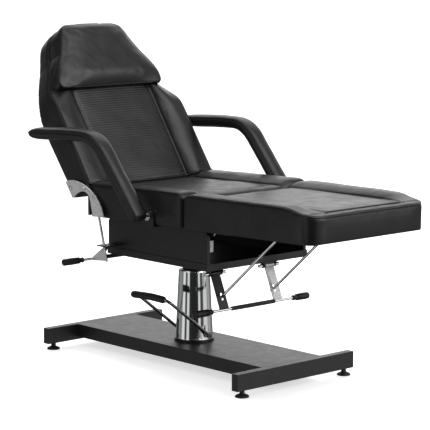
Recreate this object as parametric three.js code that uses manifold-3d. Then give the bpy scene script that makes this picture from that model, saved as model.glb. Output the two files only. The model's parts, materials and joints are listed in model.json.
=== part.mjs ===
// Facial treatment bed on a hydraulic pump, in millimetres with +Z up.
// The sitter faces +X, so left is +Y. The floor is Z = 0, and the origin lies on the floor
// under the middle of the bed's overall length and width.
import * as THREE from "three";
import { mergeVertices } from "three/addons/utils/BufferGeometryUtils.js";
import Module from "manifold-3d";

// ---------------------------------------------------------------- driving dimensions
// X, Y and Z values of single points are measured from the foot of the pump column.
const GAP = 0.3; // clearance between pieces that touch
const COLUMN_X = -87; // pump axis, from the middle of the overall length

const BASE = { length: 1083, width: 575, plateWidth: 290, skirt: 50, sheet: 3 };
const BAR = { x: 30, z: 60, wall: 2 };
const FOOT = { height: 25, stem: 5, stemTop: 55, inset: 35 };
const FLOOR_TOP = FOOT.height + BAR.z; // top of the base plate

const CASTING = { flange: 74, flangeThick: 8, body: 46, bore: 31, floor: 130, top: 325 };
const COVER = { bottom: 70, top: 58, height: 352, wall: 1.5, mouth: 34 };
const PISTON = { radius: 30, bottom: 176, top: 403.4 };
const PEDAL = { z: 112, arm: 83, reach: 202, rise: 266, rod: 6, grip: 13, shaft: 7, collar: 11 };

const TRAY = { rear: -204, front: 342, half: 247, bottom: 412, rim: 25, sheet: 3 };
const PANEL = { thick: 12.7, frontRound: 26, rearRound: 16, drop: 7 };

const BED_HALF = 310; // half the width of the upholstery
const BOARD = 12; // plywood under each cushion
const BOARD_INSET = 16;
const SEAT = { rear: -223, front: 275, rearTop: 675, frontTop: 688, rearRound: 12, round: 28 };
const LEG = { rear: 283, front: 892, rearTop: 684, frontTop: 690, rearRound: 30, round: 28 };
const LEG_FOOT = { half: 286, corner: 60, under: 22, underTop: 602, boardInset: 40 };
const LEG_PIVOT = [340, 546];
const LEG_LUG = { radius: 11, near: 216, far: 221, reach: 40 };
const LEG_ROD = { y: 130, top: [582, 551.5], lock: [290.4, 302.6], radius: 5, eye: 8, pin: 4 };
const FRONT_HINGE = { rear: 240, front: 265, bottom: 536, top: 561, wall: 3, near: 222, far: 226 };
const FRONT_LOCK = { top: [257, 383], tilt: 22.5, y: 133, width: 44, sheet: 4, length: 140 };
const LOCK_HINGE = { pin: 6, knuckle: 9.5, lug: 9, near: 26, far: 31, reach: 50 };
const FRONT_HANDLE = { half: 277, rod: 5, sleeve: 106, grip: 78 };

const BACK_ORIGIN = [-233, 667]; // front lower edge of the backrest
const BACK_ANGLE = 55.6; // degrees above the horizontal
const BACK = { thick: 105, shoulderThick: 140, shoulder: 640, height: 696, topRound: 20 };
const BACK_BOARD = { half: 290, bottom: 24, narrowFrom: 290, top: 600, topHalf: 150 };
const BACK_PIVOT = [-238, 657];
const REAR_HINGE = { sheet: 4, half: 317, bottom: 558, top: 592, uprightTop: 645, stud: 13 };
const SHOULDER = { depth: 54, width: 76 }; // the front edge draws back round the shoulders
const HEADREST = { bottom: 409, front: 29, facet: 40, edge: 9 };
const ARCH = { inner: 322, outer: 327 };
const BACK_ROD = { y: 316.5, radius: 4.6, top: [-186, 628], end: [-123.4, 397], eye: 9 };
const REAR_LOCK = { z: 452, pivot: [-150, 440], bar: [-210, 398], nose: [-147, 404] };
const REAR_HANDLE = { half: 448, rod: 5, sleeve: 290, grip: 90 };
const LEVER = { near: 303.5, far: 307.5, radius: 8 };

const ARM = { y: 371, width: 80, thick: 44, pivot: [116, 594], hub: 18, bend: 62 };
const ARM_BAR = { half: 12, thick: 5, stub: 10 };
const ARM_STRAP = { bottom: 553, top: 558, near: 311, half: 315, stud: 6, studEnd: 344 };
const ARM_END = [128, 586];
const ARM_BEND = [-108, 860];
const ARM_MID = [-240, 861];
const ARM_TIP = [-498, 846];

const SIDES = [
  ["left", 1],
  ["right", -1],
];

// ---------------------------------------------------------------- materials
const metal = (color, roughness, metalness) =>
  new THREE.MeshStandardMaterial({ color, roughness, metalness });
const leather = metal(0x1c1c1e, 0.42, 0);
const coat = metal(0x202022, 0.5, 0.3);
const chrome = metal(0xd9dbde, 0.12, 1);
const zinc = metal(0xb4b6b9, 0.35, 0.9);
const rubber = metal(0x131313, 0.7, 0);
const plywood = metal(0x2b2623, 0.85, 0);

// ---------------------------------------------------------------- solid helpers
const wasm = await Module();
wasm.setup();

function toSolid(geometry) {
  const bare = geometry.clone();
  bare.deleteAttribute("normal");
  bare.deleteAttribute("uv");
  const merged = mergeVertices(bare, 1e-4);
  return new wasm.Manifold(
    new wasm.Mesh({
      numProp: 3,
      vertProperties: merged.attributes.position.array,
      triVerts: new Uint32Array(merged.index.array),
    }),
  );
}

function toGeometry(solid) {
  const mesh = solid.getMesh();
  const geometry = new THREE.BufferGeometry();
  geometry.setAttribute("position", new THREE.BufferAttribute(mesh.vertProperties, 3));
  geometry.setIndex(new THREE.BufferAttribute(mesh.triVerts, 1));
  geometry.computeVertexNormals();
  return geometry;
}

const fold = (action) => (first, ...others) =>
  toGeometry(others.reduce((solid, next) => solid[action](toSolid(next)), toSolid(first)));
const join = fold("add");
const cut = fold("subtract");
const common = fold("intersect");

// ---------------------------------------------------------------- shape helpers
function outline(points) {
  return new THREE.Shape(points.map(([a, b]) => new THREE.Vector2(a, b)));
}

// The convex outline that keeps a given distance round points listed anticlockwise.
function roundedOutline(points, radius) {
  const shape = new THREE.Shape();
  const normalAngle = ([ax, ay], [bx, by]) => Math.atan2(ax - bx, by - ay);
  points.forEach((point, i) => {
    const before = points.at(i - 1);
    const after = points[(i + 1) % points.length];
    shape.absarc(
      ...point, radius, normalAngle(before, point), normalAngle(point, after), false,
    );
  });
  return shape;
}

function extrude(shape, depth, curveSegments = 5) {
  return new THREE.ExtrudeGeometry(shape, { depth, bevelEnabled: false, curveSegments });
}

// Outlines drawn as (x, z), (x, y) and (y, z), filled between two values of the third axis.
function alongY(shape, y0, y1, segments) {
  return extrude(shape, y1 - y0, segments).rotateX(Math.PI / 2).translate(0, y1, 0);
}

function alongZ(shape, z0, z1, segments) {
  return extrude(shape, z1 - z0, segments).translate(0, 0, z0);
}

function alongX(shape, x0, x1, segments) {
  return facingX(extrude(shape, x1 - x0, segments)).translate(x0, 0, 0);
}

// Turns a piece extruded from an (x, y) outline so that the outline lies in (y, z).
function facingX(geometry) {
  return geometry.rotateX(Math.PI / 2).rotateZ(Math.PI / 2);
}

// The same outline filled on one side of the bed, between two distances from its middle.
function onSide(side, shape, near, far, segments) {
  return alongY(shape, Math.min(side * near, side * far), Math.max(side * near, side * far),
    segments);
}

function block([x0, x1], [y0, y1], [z0, z1]) {
  return new THREE.BoxGeometry(x1 - x0, y1 - y0, z1 - z0).translate(
    (x0 + x1) / 2, (y0 + y1) / 2, (z0 + z1) / 2,
  );
}

function rod(from, to, radius, segments = 12) {
  const a = new THREE.Vector3(...from);
  const b = new THREE.Vector3(...to);
  const geometry = new THREE.CylinderGeometry(radius, radius, a.distanceTo(b), segments);
  const up = new THREE.Vector3(0, 1, 0);
  const turn = new THREE.Quaternion().setFromUnitVectors(up, b.clone().sub(a).normalize());
  return geometry.applyQuaternion(turn).translate(...a.add(b).divideScalar(2).toArray());
}

const pinY = ([x, z], y0, y1, radius, segments) => rod([x, y0, z], [x, y1, z], radius, segments);
const sidePin = (side, at, near, far, radius, segments) =>
  pinY(at, side * near, side * far, radius, segments);

function turned(profile, segments = 36) {
  const points = profile.map(([r, z]) => new THREE.Vector2(r, z));
  return new THREE.LatheGeometry(points, segments).rotateX(Math.PI / 2);
}

// A path through points whose inner corners are rounded off.
function roundedPath(points, radius) {
  const spots = points.map((p) => new THREE.Vector3(...p));
  const path = new THREE.CurvePath();
  let start = spots[0];
  spots.slice(1, -1).forEach((corner, i) => {
    const toward = (target) =>
      corner.clone().add(target.clone().sub(corner).setLength(radius));
    const enter = toward(spots[i]);
    const leave = toward(spots[i + 2]);
    path.add(new THREE.LineCurve3(start, enter));
    path.add(new THREE.QuadraticBezierCurve3(enter, corner, leave));
    start = leave;
  });
  path.add(new THREE.LineCurve3(start, spots.at(-1)));
  return path;
}

// The outline of a strap of even thickness whose middle follows a rounded path in (x, z).
function strap(points, half) {
  const line = roundedPath(points.map(([x, z]) => [x, z, 0]), ARM.bend).getPoints(5);
  const edge = (side) =>
    line.map((point, i) => {
      const ahead = line[Math.min(i + 1, line.length - 1)];
      const behind = line[Math.max(i - 1, 0)];
      const run = ahead.clone().sub(behind).setLength(side * half);
      return new THREE.Vector2(point.x - run.y, point.y + run.x);
    });
  return new THREE.Shape([...edge(1), ...edge(-1).reverse()]);
}

function sweep(section, path, steps) {
  return new THREE.ExtrudeGeometry(section, {
    steps, extrudePath: path, bevelEnabled: false, curveSegments: 3,
  });
}

function disc(radius) {
  return new THREE.Shape().absarc(0, 0, radius, 0, 2 * Math.PI);
}

// A handlebar grip: a closed-end sleeve round the last stretch of a bar.
function grip(side, [x, z], half, length, rodRadius, outer = 12.5) {
  const root = half - length;
  const bore = rodRadius + GAP;
  const profile = [
    [bore, root], [outer - 3, root], [outer - 1, root + 4], [outer, root + length * 0.6],
    [outer - 1, half - 2], [outer - 5, half + 3], [0, half + 4], [0, half + GAP],
    [bore, half + GAP], [bore, root],
  ];
  const upright = turned(profile, 16);
  return upright.rotateX(-side * Math.PI / 2).translate(x, 0, z);
}

// ---------------------------------------------------------------- assembly
const bed = new THREE.Group();
bed.position.x = COLUMN_X;

function add(name, geometry, material, parent = bed) {
  const mesh = new THREE.Mesh(geometry, material);
  mesh.name = name;
  parent.add(mesh);
}

const seatUnder = (x) => 551 + (x - SEAT.rear) * 0.0241; // underside of the seat, rising forwards
const legUnder = (x) => 560 + (x - LEG.rear) * 0.0145;

function addBase() {
  const inner = BASE.length / 2 - BAR.x - GAP;
  const w = BASE.plateWidth / 2;
  const s = BASE.sheet;
  const low = FLOOR_TOP - BASE.skirt;
  const section = outline([
    [-w, low], [-w + s, low], [-w + s, FLOOR_TOP - s], [w - s, FLOOR_TOP - s],
    [w - s, low], [w, low], [w, FLOOR_TOP], [-w, FLOOR_TOP],
  ]);
  add("base_plate", alongX(section, -inner, inner), coat);

  const footY = BASE.width / 2 - FOOT.inset;
  for (const [end, direction] of [["front", 1], ["rear", -1]]) {
    const x = (direction * (BASE.length - BAR.x)) / 2;
    const tube = (shrink) =>
      block(
        [x - BAR.x / 2 + shrink, x + BAR.x / 2 - shrink],
        [-BASE.width / 2 + shrink, BASE.width / 2 - shrink],
        [FOOT.height + shrink, FLOOR_TOP - shrink],
      );
    const holes = SIDES.map(([, side]) =>
      rod([x, side * footY, FOOT.height - 1], [x, side * footY, FOOT.height + 8], FOOT.stem + 0.5),
    );
    add(`${end}_crossbar`, cut(tube(0), tube(BAR.wall), ...holes), coat);

    const profile = [
      [0, 0], [24, 0], [25, 4], [21, 8], [12, 11], [9, 15], [9, 21], [FOOT.stem, 21],
      [FOOT.stem, FOOT.stemTop], [0, FOOT.stemTop],
    ];
    for (const [name, side] of SIDES) {
      const foot = turned(profile, 14).translate(x, side * footY, 0);
      add(`levelling_foot_${end}_${name}`, foot, rubber);
    }
  }
}

function addPump() {
  const foot = FLOOR_TOP + GAP;
  const flangeTop = foot + CASTING.flangeThick;
  const casting = turned([
    [0, foot], [CASTING.flange, foot], [CASTING.flange, flangeTop], [CASTING.body, flangeTop],
    [CASTING.body, CASTING.top], [CASTING.bore, CASTING.top], [CASTING.bore, CASTING.floor],
    [0, CASTING.floor],
  ]);
  const crossHole = (radius) => rod([-100, 0, PEDAL.z], [100, 0, PEDAL.z], radius);
  add("pump_cylinder", cut(casting, crossHole(7.5)), coat);

  const bottom = flangeTop + GAP;
  const lid = COVER.height;
  const shoulder = lid - 6;
  const cover = turned([
    [COVER.bottom, bottom], [COVER.top, shoulder], [COVER.top - 2, lid], [COVER.mouth, lid],
    [COVER.mouth, lid - 2], [COVER.top - COVER.wall - 2, lid - 2],
    [COVER.bottom - COVER.wall, bottom], [COVER.bottom, bottom],
  ], 40);
  add("pump_cover", cut(cover, crossHole(9)), chrome);

  const piston = rod([0, 0, PISTON.bottom], [0, 0, PISTON.top], PISTON.radius, 28);
  add("pump_piston", piston, chrome);
  const plate = block([-100, 100], [-90, 90], [PISTON.top + GAP, TRAY.bottom - GAP]);
  add("mounting_plate", plate, coat);
}

function addPedal() {
  const { z, arm, reach, rise, shaft, collar } = PEDAL;
  const collarHalf = 6;
  const shaftEnd = arm - collarHalf - GAP;
  add("pedal_shaft", rod([-shaftEnd, 0, z], [shaftEnd, 0, z], shaft), zinc);

  const bow = [0, -reach - 8, rise + 6]; // middle of the tread, which bows outwards
  const corner = 26;
  const bail = (radius) =>
    sweep(disc(radius), roundedPath(
      [[-arm - 22, -reach, rise], bow, [arm, -reach, rise], [arm, 0, z]], corner,
    ), 30);
  const strut = (radius) => rod([-arm, -reach, rise], [-arm, 0, z], radius, 10);
  const collars = [-arm, arm].map((x) =>
    rod([x - collarHalf, 0, z], [x + collarHalf, 0, z], collar),
  );
  add("pedal_frame", join(bail(PEDAL.rod), strut(PEDAL.rod), ...collars), coat);

  const sleeve = sweep(disc(PEDAL.grip), roundedPath(
    [[-arm - 34, -reach, rise - 1], bow, [arm - 12, -reach - 1.4, rise + 1]], corner,
  ), 16);
  const clearance = PEDAL.rod + GAP;
  add("pedal_grip", cut(sleeve, bail(clearance), strut(clearance)), rubber);
}

function addTray() {
  const { rear, front, half, bottom, rim, sheet } = TRAY;
  const pan = block([rear, front], [-half, half], [bottom, bottom + rim]);
  const hollow = block(
    [rear + sheet, front - sheet], [-half + sheet, half - sheet], [bottom + sheet, bottom + 2 * rim],
  );
  add("tray_pan", cut(pan, hollow), coat);

  const { thick, frontRound, rearRound, drop } = PANEL;
  const x0 = rear + sheet + GAP;
  const x1 = front - sheet - GAP;
  const z0 = bottom + sheet + GAP;
  const top = (x) => seatUnder(x) - drop;
  const shape = new THREE.Shape();
  shape.moveTo(x0, z0);
  shape.lineTo(x1, z0);
  shape.absarc(x1 - frontRound, top(x1) - frontRound, frontRound, 0, Math.PI / 2);
  shape.absarc(x0 + rearRound, top(x0) - rearRound, rearRound, Math.PI / 2, Math.PI);
  const outer = half - sheet - GAP;
  for (const [name, side] of SIDES)
    add(`side_panel_${name}`, onSide(side, shape, outer - thick, outer), coat);
}

// Square tube under the seat with two ears that carry the leg section's pivots.
function addFrontHingeFrame() {
  const { rear, front, bottom, top, wall, near, far } = FRONT_HINGE;
  const [px, pz] = LEG_PIVOT;
  const { radius } = LEG_LUG;
  const half = TRAY.half - TRAY.sheet - PANEL.thick - 2 * GAP;
  const tube = block([rear, front], [-half, half], [bottom, top]);
  const bore = block(
    [rear + wall, front - wall], [-half - 1, half + 1], [bottom + wall, top - wall],
  );
  const ear = new THREE.Shape();
  ear.moveTo(front - 1, pz + radius);
  ear.lineTo(front - 1, pz - radius);
  ear.absarc(px, pz, radius, -Math.PI / 2, Math.PI / 2);
  const pieces = SIDES.flatMap(([, side]) => [
    onSide(side, ear, near, far),
    sidePin(side, LEG_PIVOT, LEG_LUG.near - 2, near + 2, 4.7),
  ]);
  add("front_hinge_frame", join(cut(tube, bore), ...pieces), coat);
}

// Flat bar behind the seat with two uprights that carry the backrest's pivots.
function addRearHingeFrame() {
  const { sheet, half, bottom, top, uprightTop, stud } = REAR_HINGE;
  const x = SEAT.rear - 2;
  const bar = block([x - sheet, x], [-half, half], [bottom, top]);
  const upright = outline([
    [x - sheet, bottom], [x + 10, bottom], [x + 10, 625], [BACK_PIVOT[0] + 12, uprightTop],
    [BACK_PIVOT[0], uprightTop], [x - sheet, 630],
  ]);
  const pieces = SIDES.flatMap(([, side]) => [
    onSide(side, upright, half - sheet, half),
    sidePin(side, BACK_PIVOT, half - sheet, half, stud, 24),
    sidePin(side, BACK_PIVOT, half - 1, ARCH.outer + 1.5, 5),
  ]);
  add("rear_hinge_frame", join(bar, ...pieces), coat);
}

function addSeat() {
  const { rear, front, rearTop, frontTop, rearRound, round } = SEAT;
  const slab = boardOutline(seatUnder, rear + BOARD_INSET, front - BOARD_INSET);
  const half = BED_HALF - BOARD_INSET;
  add("seat_board", alongY(slab(0), -half, half), plywood);

  const side = new THREE.Shape();
  side.moveTo(rear, seatUnder(rear));
  side.lineTo(front, seatUnder(front));
  side.lineTo(front, frontTop - round);
  side.quadraticCurveTo(front, frontTop, front - round, frontTop);
  side.lineTo(rear + rearRound, rearTop);
  side.quadraticCurveTo(rear, rearTop, rear, rearTop - rearRound);
  const recess = alongY(slab(GAP), -half - GAP, half + GAP);
  add("seat_cushion", cut(alongY(side, -BED_HALF, BED_HALF), recess), leather);
}

// Side view of a board let into a sloping underside, and the same outline grown on all sides.
function boardOutline(under, x0, x1) {
  return (grow) =>
    outline([
      [x0 - grow, under(x0) - grow], [x1 + grow, under(x1) - grow],
      [x1 + grow, under(x1) + BOARD + grow], [x0 - grow, under(x0) + BOARD + grow],
    ]);
}

function addLegSection() {
  const { rear, front, rearTop, frontTop, rearRound, round } = LEG;
  const { half: footHalf, corner, under, underTop, boardInset } = LEG_FOOT;
  const slab = boardOutline(legUnder, rear + BOARD_INSET, front - boardInset);
  const board = (grow) => {
    const inset = BOARD_INSET - grow;
    const plan = outline([
      [rear, -BED_HALF + inset], [front, -footHalf + inset],
      [front, footHalf - inset], [rear, BED_HALF - inset],
    ]);
    return common(alongY(slab(grow), -BED_HALF, BED_HALF), alongZ(plan, 500, 760));
  };
  add("leg_board", board(0), plywood);

  const side = new THREE.Shape();
  side.moveTo(rear, legUnder(rear));
  side.lineTo(front - under, legUnder(front));
  side.quadraticCurveTo(front, legUnder(front), front, underTop);
  side.lineTo(front, frontTop - round);
  side.quadraticCurveTo(front, frontTop, front - round, frontTop);
  side.lineTo(rear + rearRound, rearTop);
  side.quadraticCurveTo(rear, rearTop, rear, rearTop - rearRound);
  const plan = new THREE.Shape();
  plan.moveTo(rear - 1, BED_HALF);
  plan.lineTo(rear - 1, -BED_HALF);
  plan.absarc(front - corner, -footHalf + corner, corner, -Math.PI / 2, 0);
  plan.absarc(front - corner, footHalf - corner, corner, 0, Math.PI / 2);
  const body = common(alongY(side, -BED_HALF, BED_HALF), alongZ(plan, 500, 760, 8));
  add("leg_cushion", cut(body, board(GAP)), leather);
  addLegLugs();
}

function addLegLugs() {
  const [px, pz] = LEG_PIVOT;
  const { radius, near, far, reach } = LEG_LUG;
  const lug = new THREE.Shape();
  lug.absarc(px, pz, radius, Math.PI, 2 * Math.PI);
  lug.lineTo(px + reach, legUnder(px + reach) - GAP);
  lug.lineTo(px - radius, legUnder(px - radius) - GAP);
  for (const [name, side] of SIDES) {
    const hole = sidePin(side, LEG_PIVOT, near - 6, far + 9, 5);
    add(`leg_hinge_lug_${name}`, cut(onSide(side, lug, near, far), hole), zinc);
  }
}

function addLegRods() {
  const { y, top, lock, radius, eye, pin } = LEG_ROD;
  const [tx, tz] = top;
  const length = Math.hypot(tx - lock[0], tz - lock[1]);
  const along = (distance) => [
    tx + ((lock[0] - tx) * distance) / length,
    tz + ((lock[1] - tz) * distance) / length,
  ];
  const [nearX, nearZ] = along(length + 12);
  const [endX, endZ] = along(length + 20);
  const ear = roundedOutline([[tx - eye, tz + 4], [tx, tz], [tx + eye, tz + 4]], 7);
  const foot = 20; // half the length of the clevis's mounting plate
  const roof = legUnder(tx - foot) - GAP;
  for (const [name, side] of SIDES) {
    const cy = side * y;
    const clevis = join(
      block([tx - foot, tx + foot], [cy - 13, cy + 13], [roof - 3, roof]),
      alongY(ear, cy - 12, cy - 8),
      alongY(ear, cy + 8, cy + 12),
      pinY(top, cy - 14, cy + 14, pin),
    );
    add(`leg_rod_clevis_${name}`, clevis, zinc);
    const knuckle = pinY(top, cy - 7.5, cy + 7.5, eye);
    const bore = pinY(top, cy - 12, cy + 12, pin + GAP);
    const shank = rod([tx, cy, tz], [endX, cy, endZ], radius);
    const stop = rod([nearX, cy, nearZ], [endX, cy, endZ], eye);
    add(`leg_rod_${name}`, cut(join(knuckle, shank, stop), bore), chrome);
  }
}

// Tilting lock plates under the tray: the leg rods slide through their slots, and the
// handlebar welded to their lower ends tilts them free.
function addFrontLock() {
  const { top, tilt, y, width, sheet, length } = FRONT_LOCK;
  const { pin, knuckle, reach } = LOCK_HINGE;
  const [tx, tz] = top;
  const hung = new THREE.Group();
  hung.position.set(tx, 0, tz);
  hung.rotation.y = -THREE.MathUtils.degToRad(tilt);
  bed.add(hung);

  const slotAt = Math.hypot(LEG_ROD.lock[0] - tx, LEG_ROD.lock[1] - tz);
  for (const [name, side] of SIDES) {
    const cy = side * y;
    const slotY = side * LEG_ROD.y;
    const slot = roundedOutline(
      [[slotY, -slotAt - 8], [slotY, -slotAt + 8]], LEG_ROD.radius + 1.2,
    );
    const plate = cut(
      join(
        block([-sheet / 2, sheet / 2], [cy - width / 2, cy + width / 2], [-length, -6]),
        pinY([0, 0], cy - width / 2, cy + width / 2, knuckle),
      ),
      pinY([0, 0], cy - width, cy + width, pin + GAP),
      alongX(slot, -10, 10),
    );
    add(`front_lock_plate_${name}`, plate, zinc, hung);
    add(`front_lock_hanger_${name}`, lockHanger(cy), coat);
    add(`front_lock_pin_${name}`, pinY(top, cy - reach, cy + reach, pin), chrome);
  }

  const { half, rod: radius, sleeve } = FRONT_HANDLE;
  const bar = [sheet / 2 + radius + GAP, 4 - length];
  add("front_handle_bar", pinY(bar, -half, half, radius), chrome, hung);
  add("front_handle_sleeve", tubeY(bar, sleeve, radius + GAP, radius + 3), rubber, hung);
  for (const [name, side] of SIDES)
    add(`front_handle_grip_${name}`, grip(side, bar, half, FRONT_HANDLE.grip, radius),
      rubber, hung);
}

// Bracket under the tray with a lug on each side of a lock plate.
function lockHanger(cy) {
  const { pin, lug: radius, near, far, reach } = LOCK_HINGE;
  const [tx, tz] = FRONT_LOCK.top;
  const roof = TRAY.bottom - GAP;
  const lug = roundedOutline([[tx - 4, roof - 8], [tx, tz], [tx + 4, roof - 8]], radius);
  const lugs = join(alongY(lug, cy - far, cy - near), alongY(lug, cy + near, cy + far));
  const below = block([tx - 30, tx + 30], [cy - 40, cy + 40], [tz - 20, roof]);
  const plate = block([tx - 14, tx + 14], [cy - far, cy + far], [roof - 5, roof]);
  return cut(join(plate, common(lugs, below)), pinY([tx, tz], cy - reach, cy + reach, pin + GAP));
}

// A sleeve across the bed, open at both ends.
function tubeY(at, half, bore, radius) {
  return cut(pinY(at, -half, half, radius), pinY(at, -half - 1, half + 1, bore));
}

// Brackets on the tray's sides hold the backrest rods and the two release levers.
function addRearLock() {
  const { z, pivot, bar, nose } = REAR_LOCK;
  const { y, radius, top, end } = BACK_ROD;
  const shelf = { half: 26, sheet: 4, margin: 14 };
  const wall = TRAY.half - TRAY.sheet;
  const lean = (end[0] - top[0]) / (end[1] - top[1]);
  const slotX = top[0] + (z + shelf.sheet / 2 - top[1]) * lean;
  const slot = roundedOutline([[slotX - 10, 0], [slotX + 10, 0]], radius + 1);
  const lever = roundedOutline([bar, nose, pivot], LEVER.radius);
  const ear = roundedOutline([[pivot[0] - 6, z - 4], pivot, [pivot[0] + 6, z - 4]], 8);
  const below = block([-400, 0], [-400, 400], [300, z + 2]);
  for (const [name, side] of SIDES) {
    const [y0, y1] = [side * wall, side * (y + shelf.margin)].sort((a, b) => a - b);
    const bracket = cut(
      join(
        block([slotX - shelf.half, slotX + shelf.half], [y0, y1], [z, z + shelf.sheet]),
        common(onSide(side, ear, LEVER.near - 4.5, LEVER.near - 0.5), below),
        sidePin(side, pivot, LEVER.near - 2.5, LEVER.far + 2.5, 4),
      ),
      alongZ(slot, z - 5, z + 9).translate(0, side * y, 0),
    );
    add(`rear_lock_bracket_${name}`, bracket, coat);

    const plate = cut(
      onSide(side, lever, LEVER.near, LEVER.far),
      sidePin(side, pivot, LEVER.near - 3, LEVER.far + 4, 4 + GAP),
      sidePin(side, bar, LEVER.near - 3, LEVER.far + 4, REAR_HANDLE.rod + GAP),
    );
    add(`rear_lever_${name}`, plate, zinc);
  }

  const { half, rod: thick, sleeve } = REAR_HANDLE;
  add("rear_handle_bar", pinY(bar, -half, half, thick), chrome);
  add("rear_handle_sleeve", tubeY(bar, sleeve, thick + GAP, thick + 3), rubber);
  for (const [name, side] of SIDES)
    add(`rear_handle_grip_${name}`, grip(side, bar, half, REAR_HANDLE.grip, thick), rubber);
}

function addBack() {
  const back = new THREE.Group(); // local x points out of the front face, z up the back
  back.position.set(BACK_ORIGIN[0], 0, BACK_ORIGIN[1]);
  back.rotation.y = -THREE.MathUtils.degToRad(90 - BACK_ANGLE);
  bed.add(back);

  const { thick, shoulderThick, shoulder, height, topRound } = BACK;
  const slope = (shoulderThick - thick) / shoulder;
  const rearFace = (z) => -thick - slope * z;
  const side = new THREE.Shape();
  side.moveTo(0, 0);
  side.lineTo(0, height - topRound);
  side.quadraticCurveTo(0, height, -1.5 * topRound, height);
  side.quadraticCurveTo(rearFace(shoulder), height, rearFace(shoulder), shoulder);
  side.lineTo(rearFace(0), 0);

  const { half, bottom, narrowFrom, top, topHalf } = BACK_BOARD;
  const board = (grow) => {
    const strip = outline([
      [rearFace(bottom) - grow, bottom - grow], [rearFace(bottom) + BOARD + grow, bottom - grow],
      [rearFace(top) + BOARD + grow, top + grow], [rearFace(top) - grow, top + grow],
    ]);
    const plan = outline([
      [-half - grow, 0], [half + grow, 0], [half + grow, narrowFrom], [topHalf + grow, top + 1],
      [-topHalf - grow, top + 1], [-half - grow, narrowFrom],
    ]);
    return common(alongY(strip, -half - grow, half + grow), acrossFace(plan));
  };
  add("back_board", board(0), plywood, back);
  const body = common(
    common(alongY(side, -BED_HALF, BED_HALF), acrossFace(backFront())), shoulders(0),
  );
  add("back_cushion", cut(body, board(GAP)), leather, back);
  add("headrest_cushion", headrest(), leather, back);
}

// An outline drawn on the backrest's face, filled from behind the backrest to in front of it.
function acrossFace(shape, segments) {
  return alongX(shape, -200, 60, segments);
}

// Front view of the backrest: straight sides, then a waist that narrows to the rounded top.
function backFront() {
  const { height } = BACK;
  const shape = new THREE.Shape();
  shape.moveTo(0, 0);
  shape.lineTo(BED_HALF, 0);
  shape.lineTo(BED_HALF, 290);
  shape.quadraticCurveTo(308, 392, 215, 540);
  shape.lineTo(170, 632);
  shape.quadraticCurveTo(140, height - 2, 90, height);
  shape.lineTo(-90, height);
  shape.quadraticCurveTo(-140, height - 2, -170, 632);
  shape.lineTo(-215, 540);
  shape.quadraticCurveTo(-308, 392, -BED_HALF, 290);
  shape.lineTo(-BED_HALF, 0);
  return shape;
}

// Block whose bevelled front edge meets the backrest's outline only above its waist, so that it
// trims the front face back round the shoulders. grow moves its surface outwards.
function shoulders(grow) {
  const { depth, width } = SHOULDER;
  const wide = BED_HALF + width;
  const right = [[wide, -width - 1], [wide, 300], [285, 400], [215, 545], [172, 640], [112, 702]];
  const left = right.map(([y, z]) => [-y, z]).reverse();
  const slab = new THREE.ExtrudeGeometry(outline([...right, ...left]), {
    depth: 200, bevelThickness: depth, bevelSize: width, bevelOffset: grow - width,
    bevelSegments: 2,
  });
  return facingX(slab).translate(-200 - depth + grow, 0, 0);
}

// Pillow that wraps the shoulders: a tapered outline whose lower front edge slopes back.
function headrest() {
  const { bottom, front, facet, edge } = HEADREST;
  const shape = new THREE.Shape();
  shape.moveTo(-240, bottom);
  shape.lineTo(240, bottom);
  shape.quadraticCurveTo(256, bottom + 2, 256, bottom + 18);
  shape.quadraticCurveTo(252, 478, 201, 549);
  shape.lineTo(168, 618);
  shape.quadraticCurveTo(150, 682, 98, 684);
  shape.lineTo(-98, 684);
  shape.quadraticCurveTo(-150, 682, -168, 618);
  shape.lineTo(-201, 549);
  shape.quadraticCurveTo(-252, 478, -256, bottom + 18);
  shape.quadraticCurveTo(-256, bottom + 2, -240, bottom);
  const slab = new THREE.ExtrudeGeometry(shape, {
    depth: 50 + front - edge, bevelThickness: edge, bevelSize: edge, bevelOffset: -edge,
    bevelSegments: 3, curveSegments: 6,
  });
  const side = outline([
    [-50, bottom], [3, bottom], [front, bottom + facet], [front, 700], [-50, 700],
  ]);
  const body = common(facingX(slab).translate(-50, 0, 0), alongY(side, -BED_HALF, BED_HALF));
  return cut(body, common(shoulders(1), block([-300, 1], [-400, 400], [-10, 760])));
}

// Curved steel plate on each side of the backrest, with a stud for the rod inside.
function addArches() {
  const { inner, outer } = ARCH;
  const { y, radius, top, end, eye } = BACK_ROD;
  const shape = archOutline();
  for (const [name, side] of SIDES) {
    const plate = cut(
      join(
        onSide(side, shape, inner, outer, 8),
        sidePin(side, top, 311.5, inner + 1, 4),
        sidePin(side, [-318, 650], BED_HALF + GAP, inner + 1, 10),
      ),
      sidePin(side, BACK_PIVOT, inner - 7, outer + 8, 5.3),
    );
    add(`arch_plate_${name}`, plate, zinc);

    const cy = side * y;
    const bar = cut(
      join(pinY(top, cy - 4.5, cy + 4.5, eye), rod([top[0], cy, top[1]], [end[0], cy, end[1]], radius)),
      pinY(top, cy - 12, cy + 12, 4 + GAP),
    );
    add(`back_rod_${name}`, bar, chrome);
  }
}

// Side view of the arch: a foot beside the seat, a curved arm and a hooked upper end.
function archOutline() {
  const shape = new THREE.Shape();
  shape.moveTo(-190, 557);
  shape.lineTo(-131, 561);
  shape.bezierCurveTo(-138, 597, -170, 634, -211, 655);
  shape.bezierCurveTo(-270, 686, -325, 684, -348, 669);
  shape.lineTo(-309, 615);
  shape.quadraticCurveTo(-300, 611, -295, 622);
  shape.bezierCurveTo(-262, 652, -212, 655, -204, 612);
  return shape;
}

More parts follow.
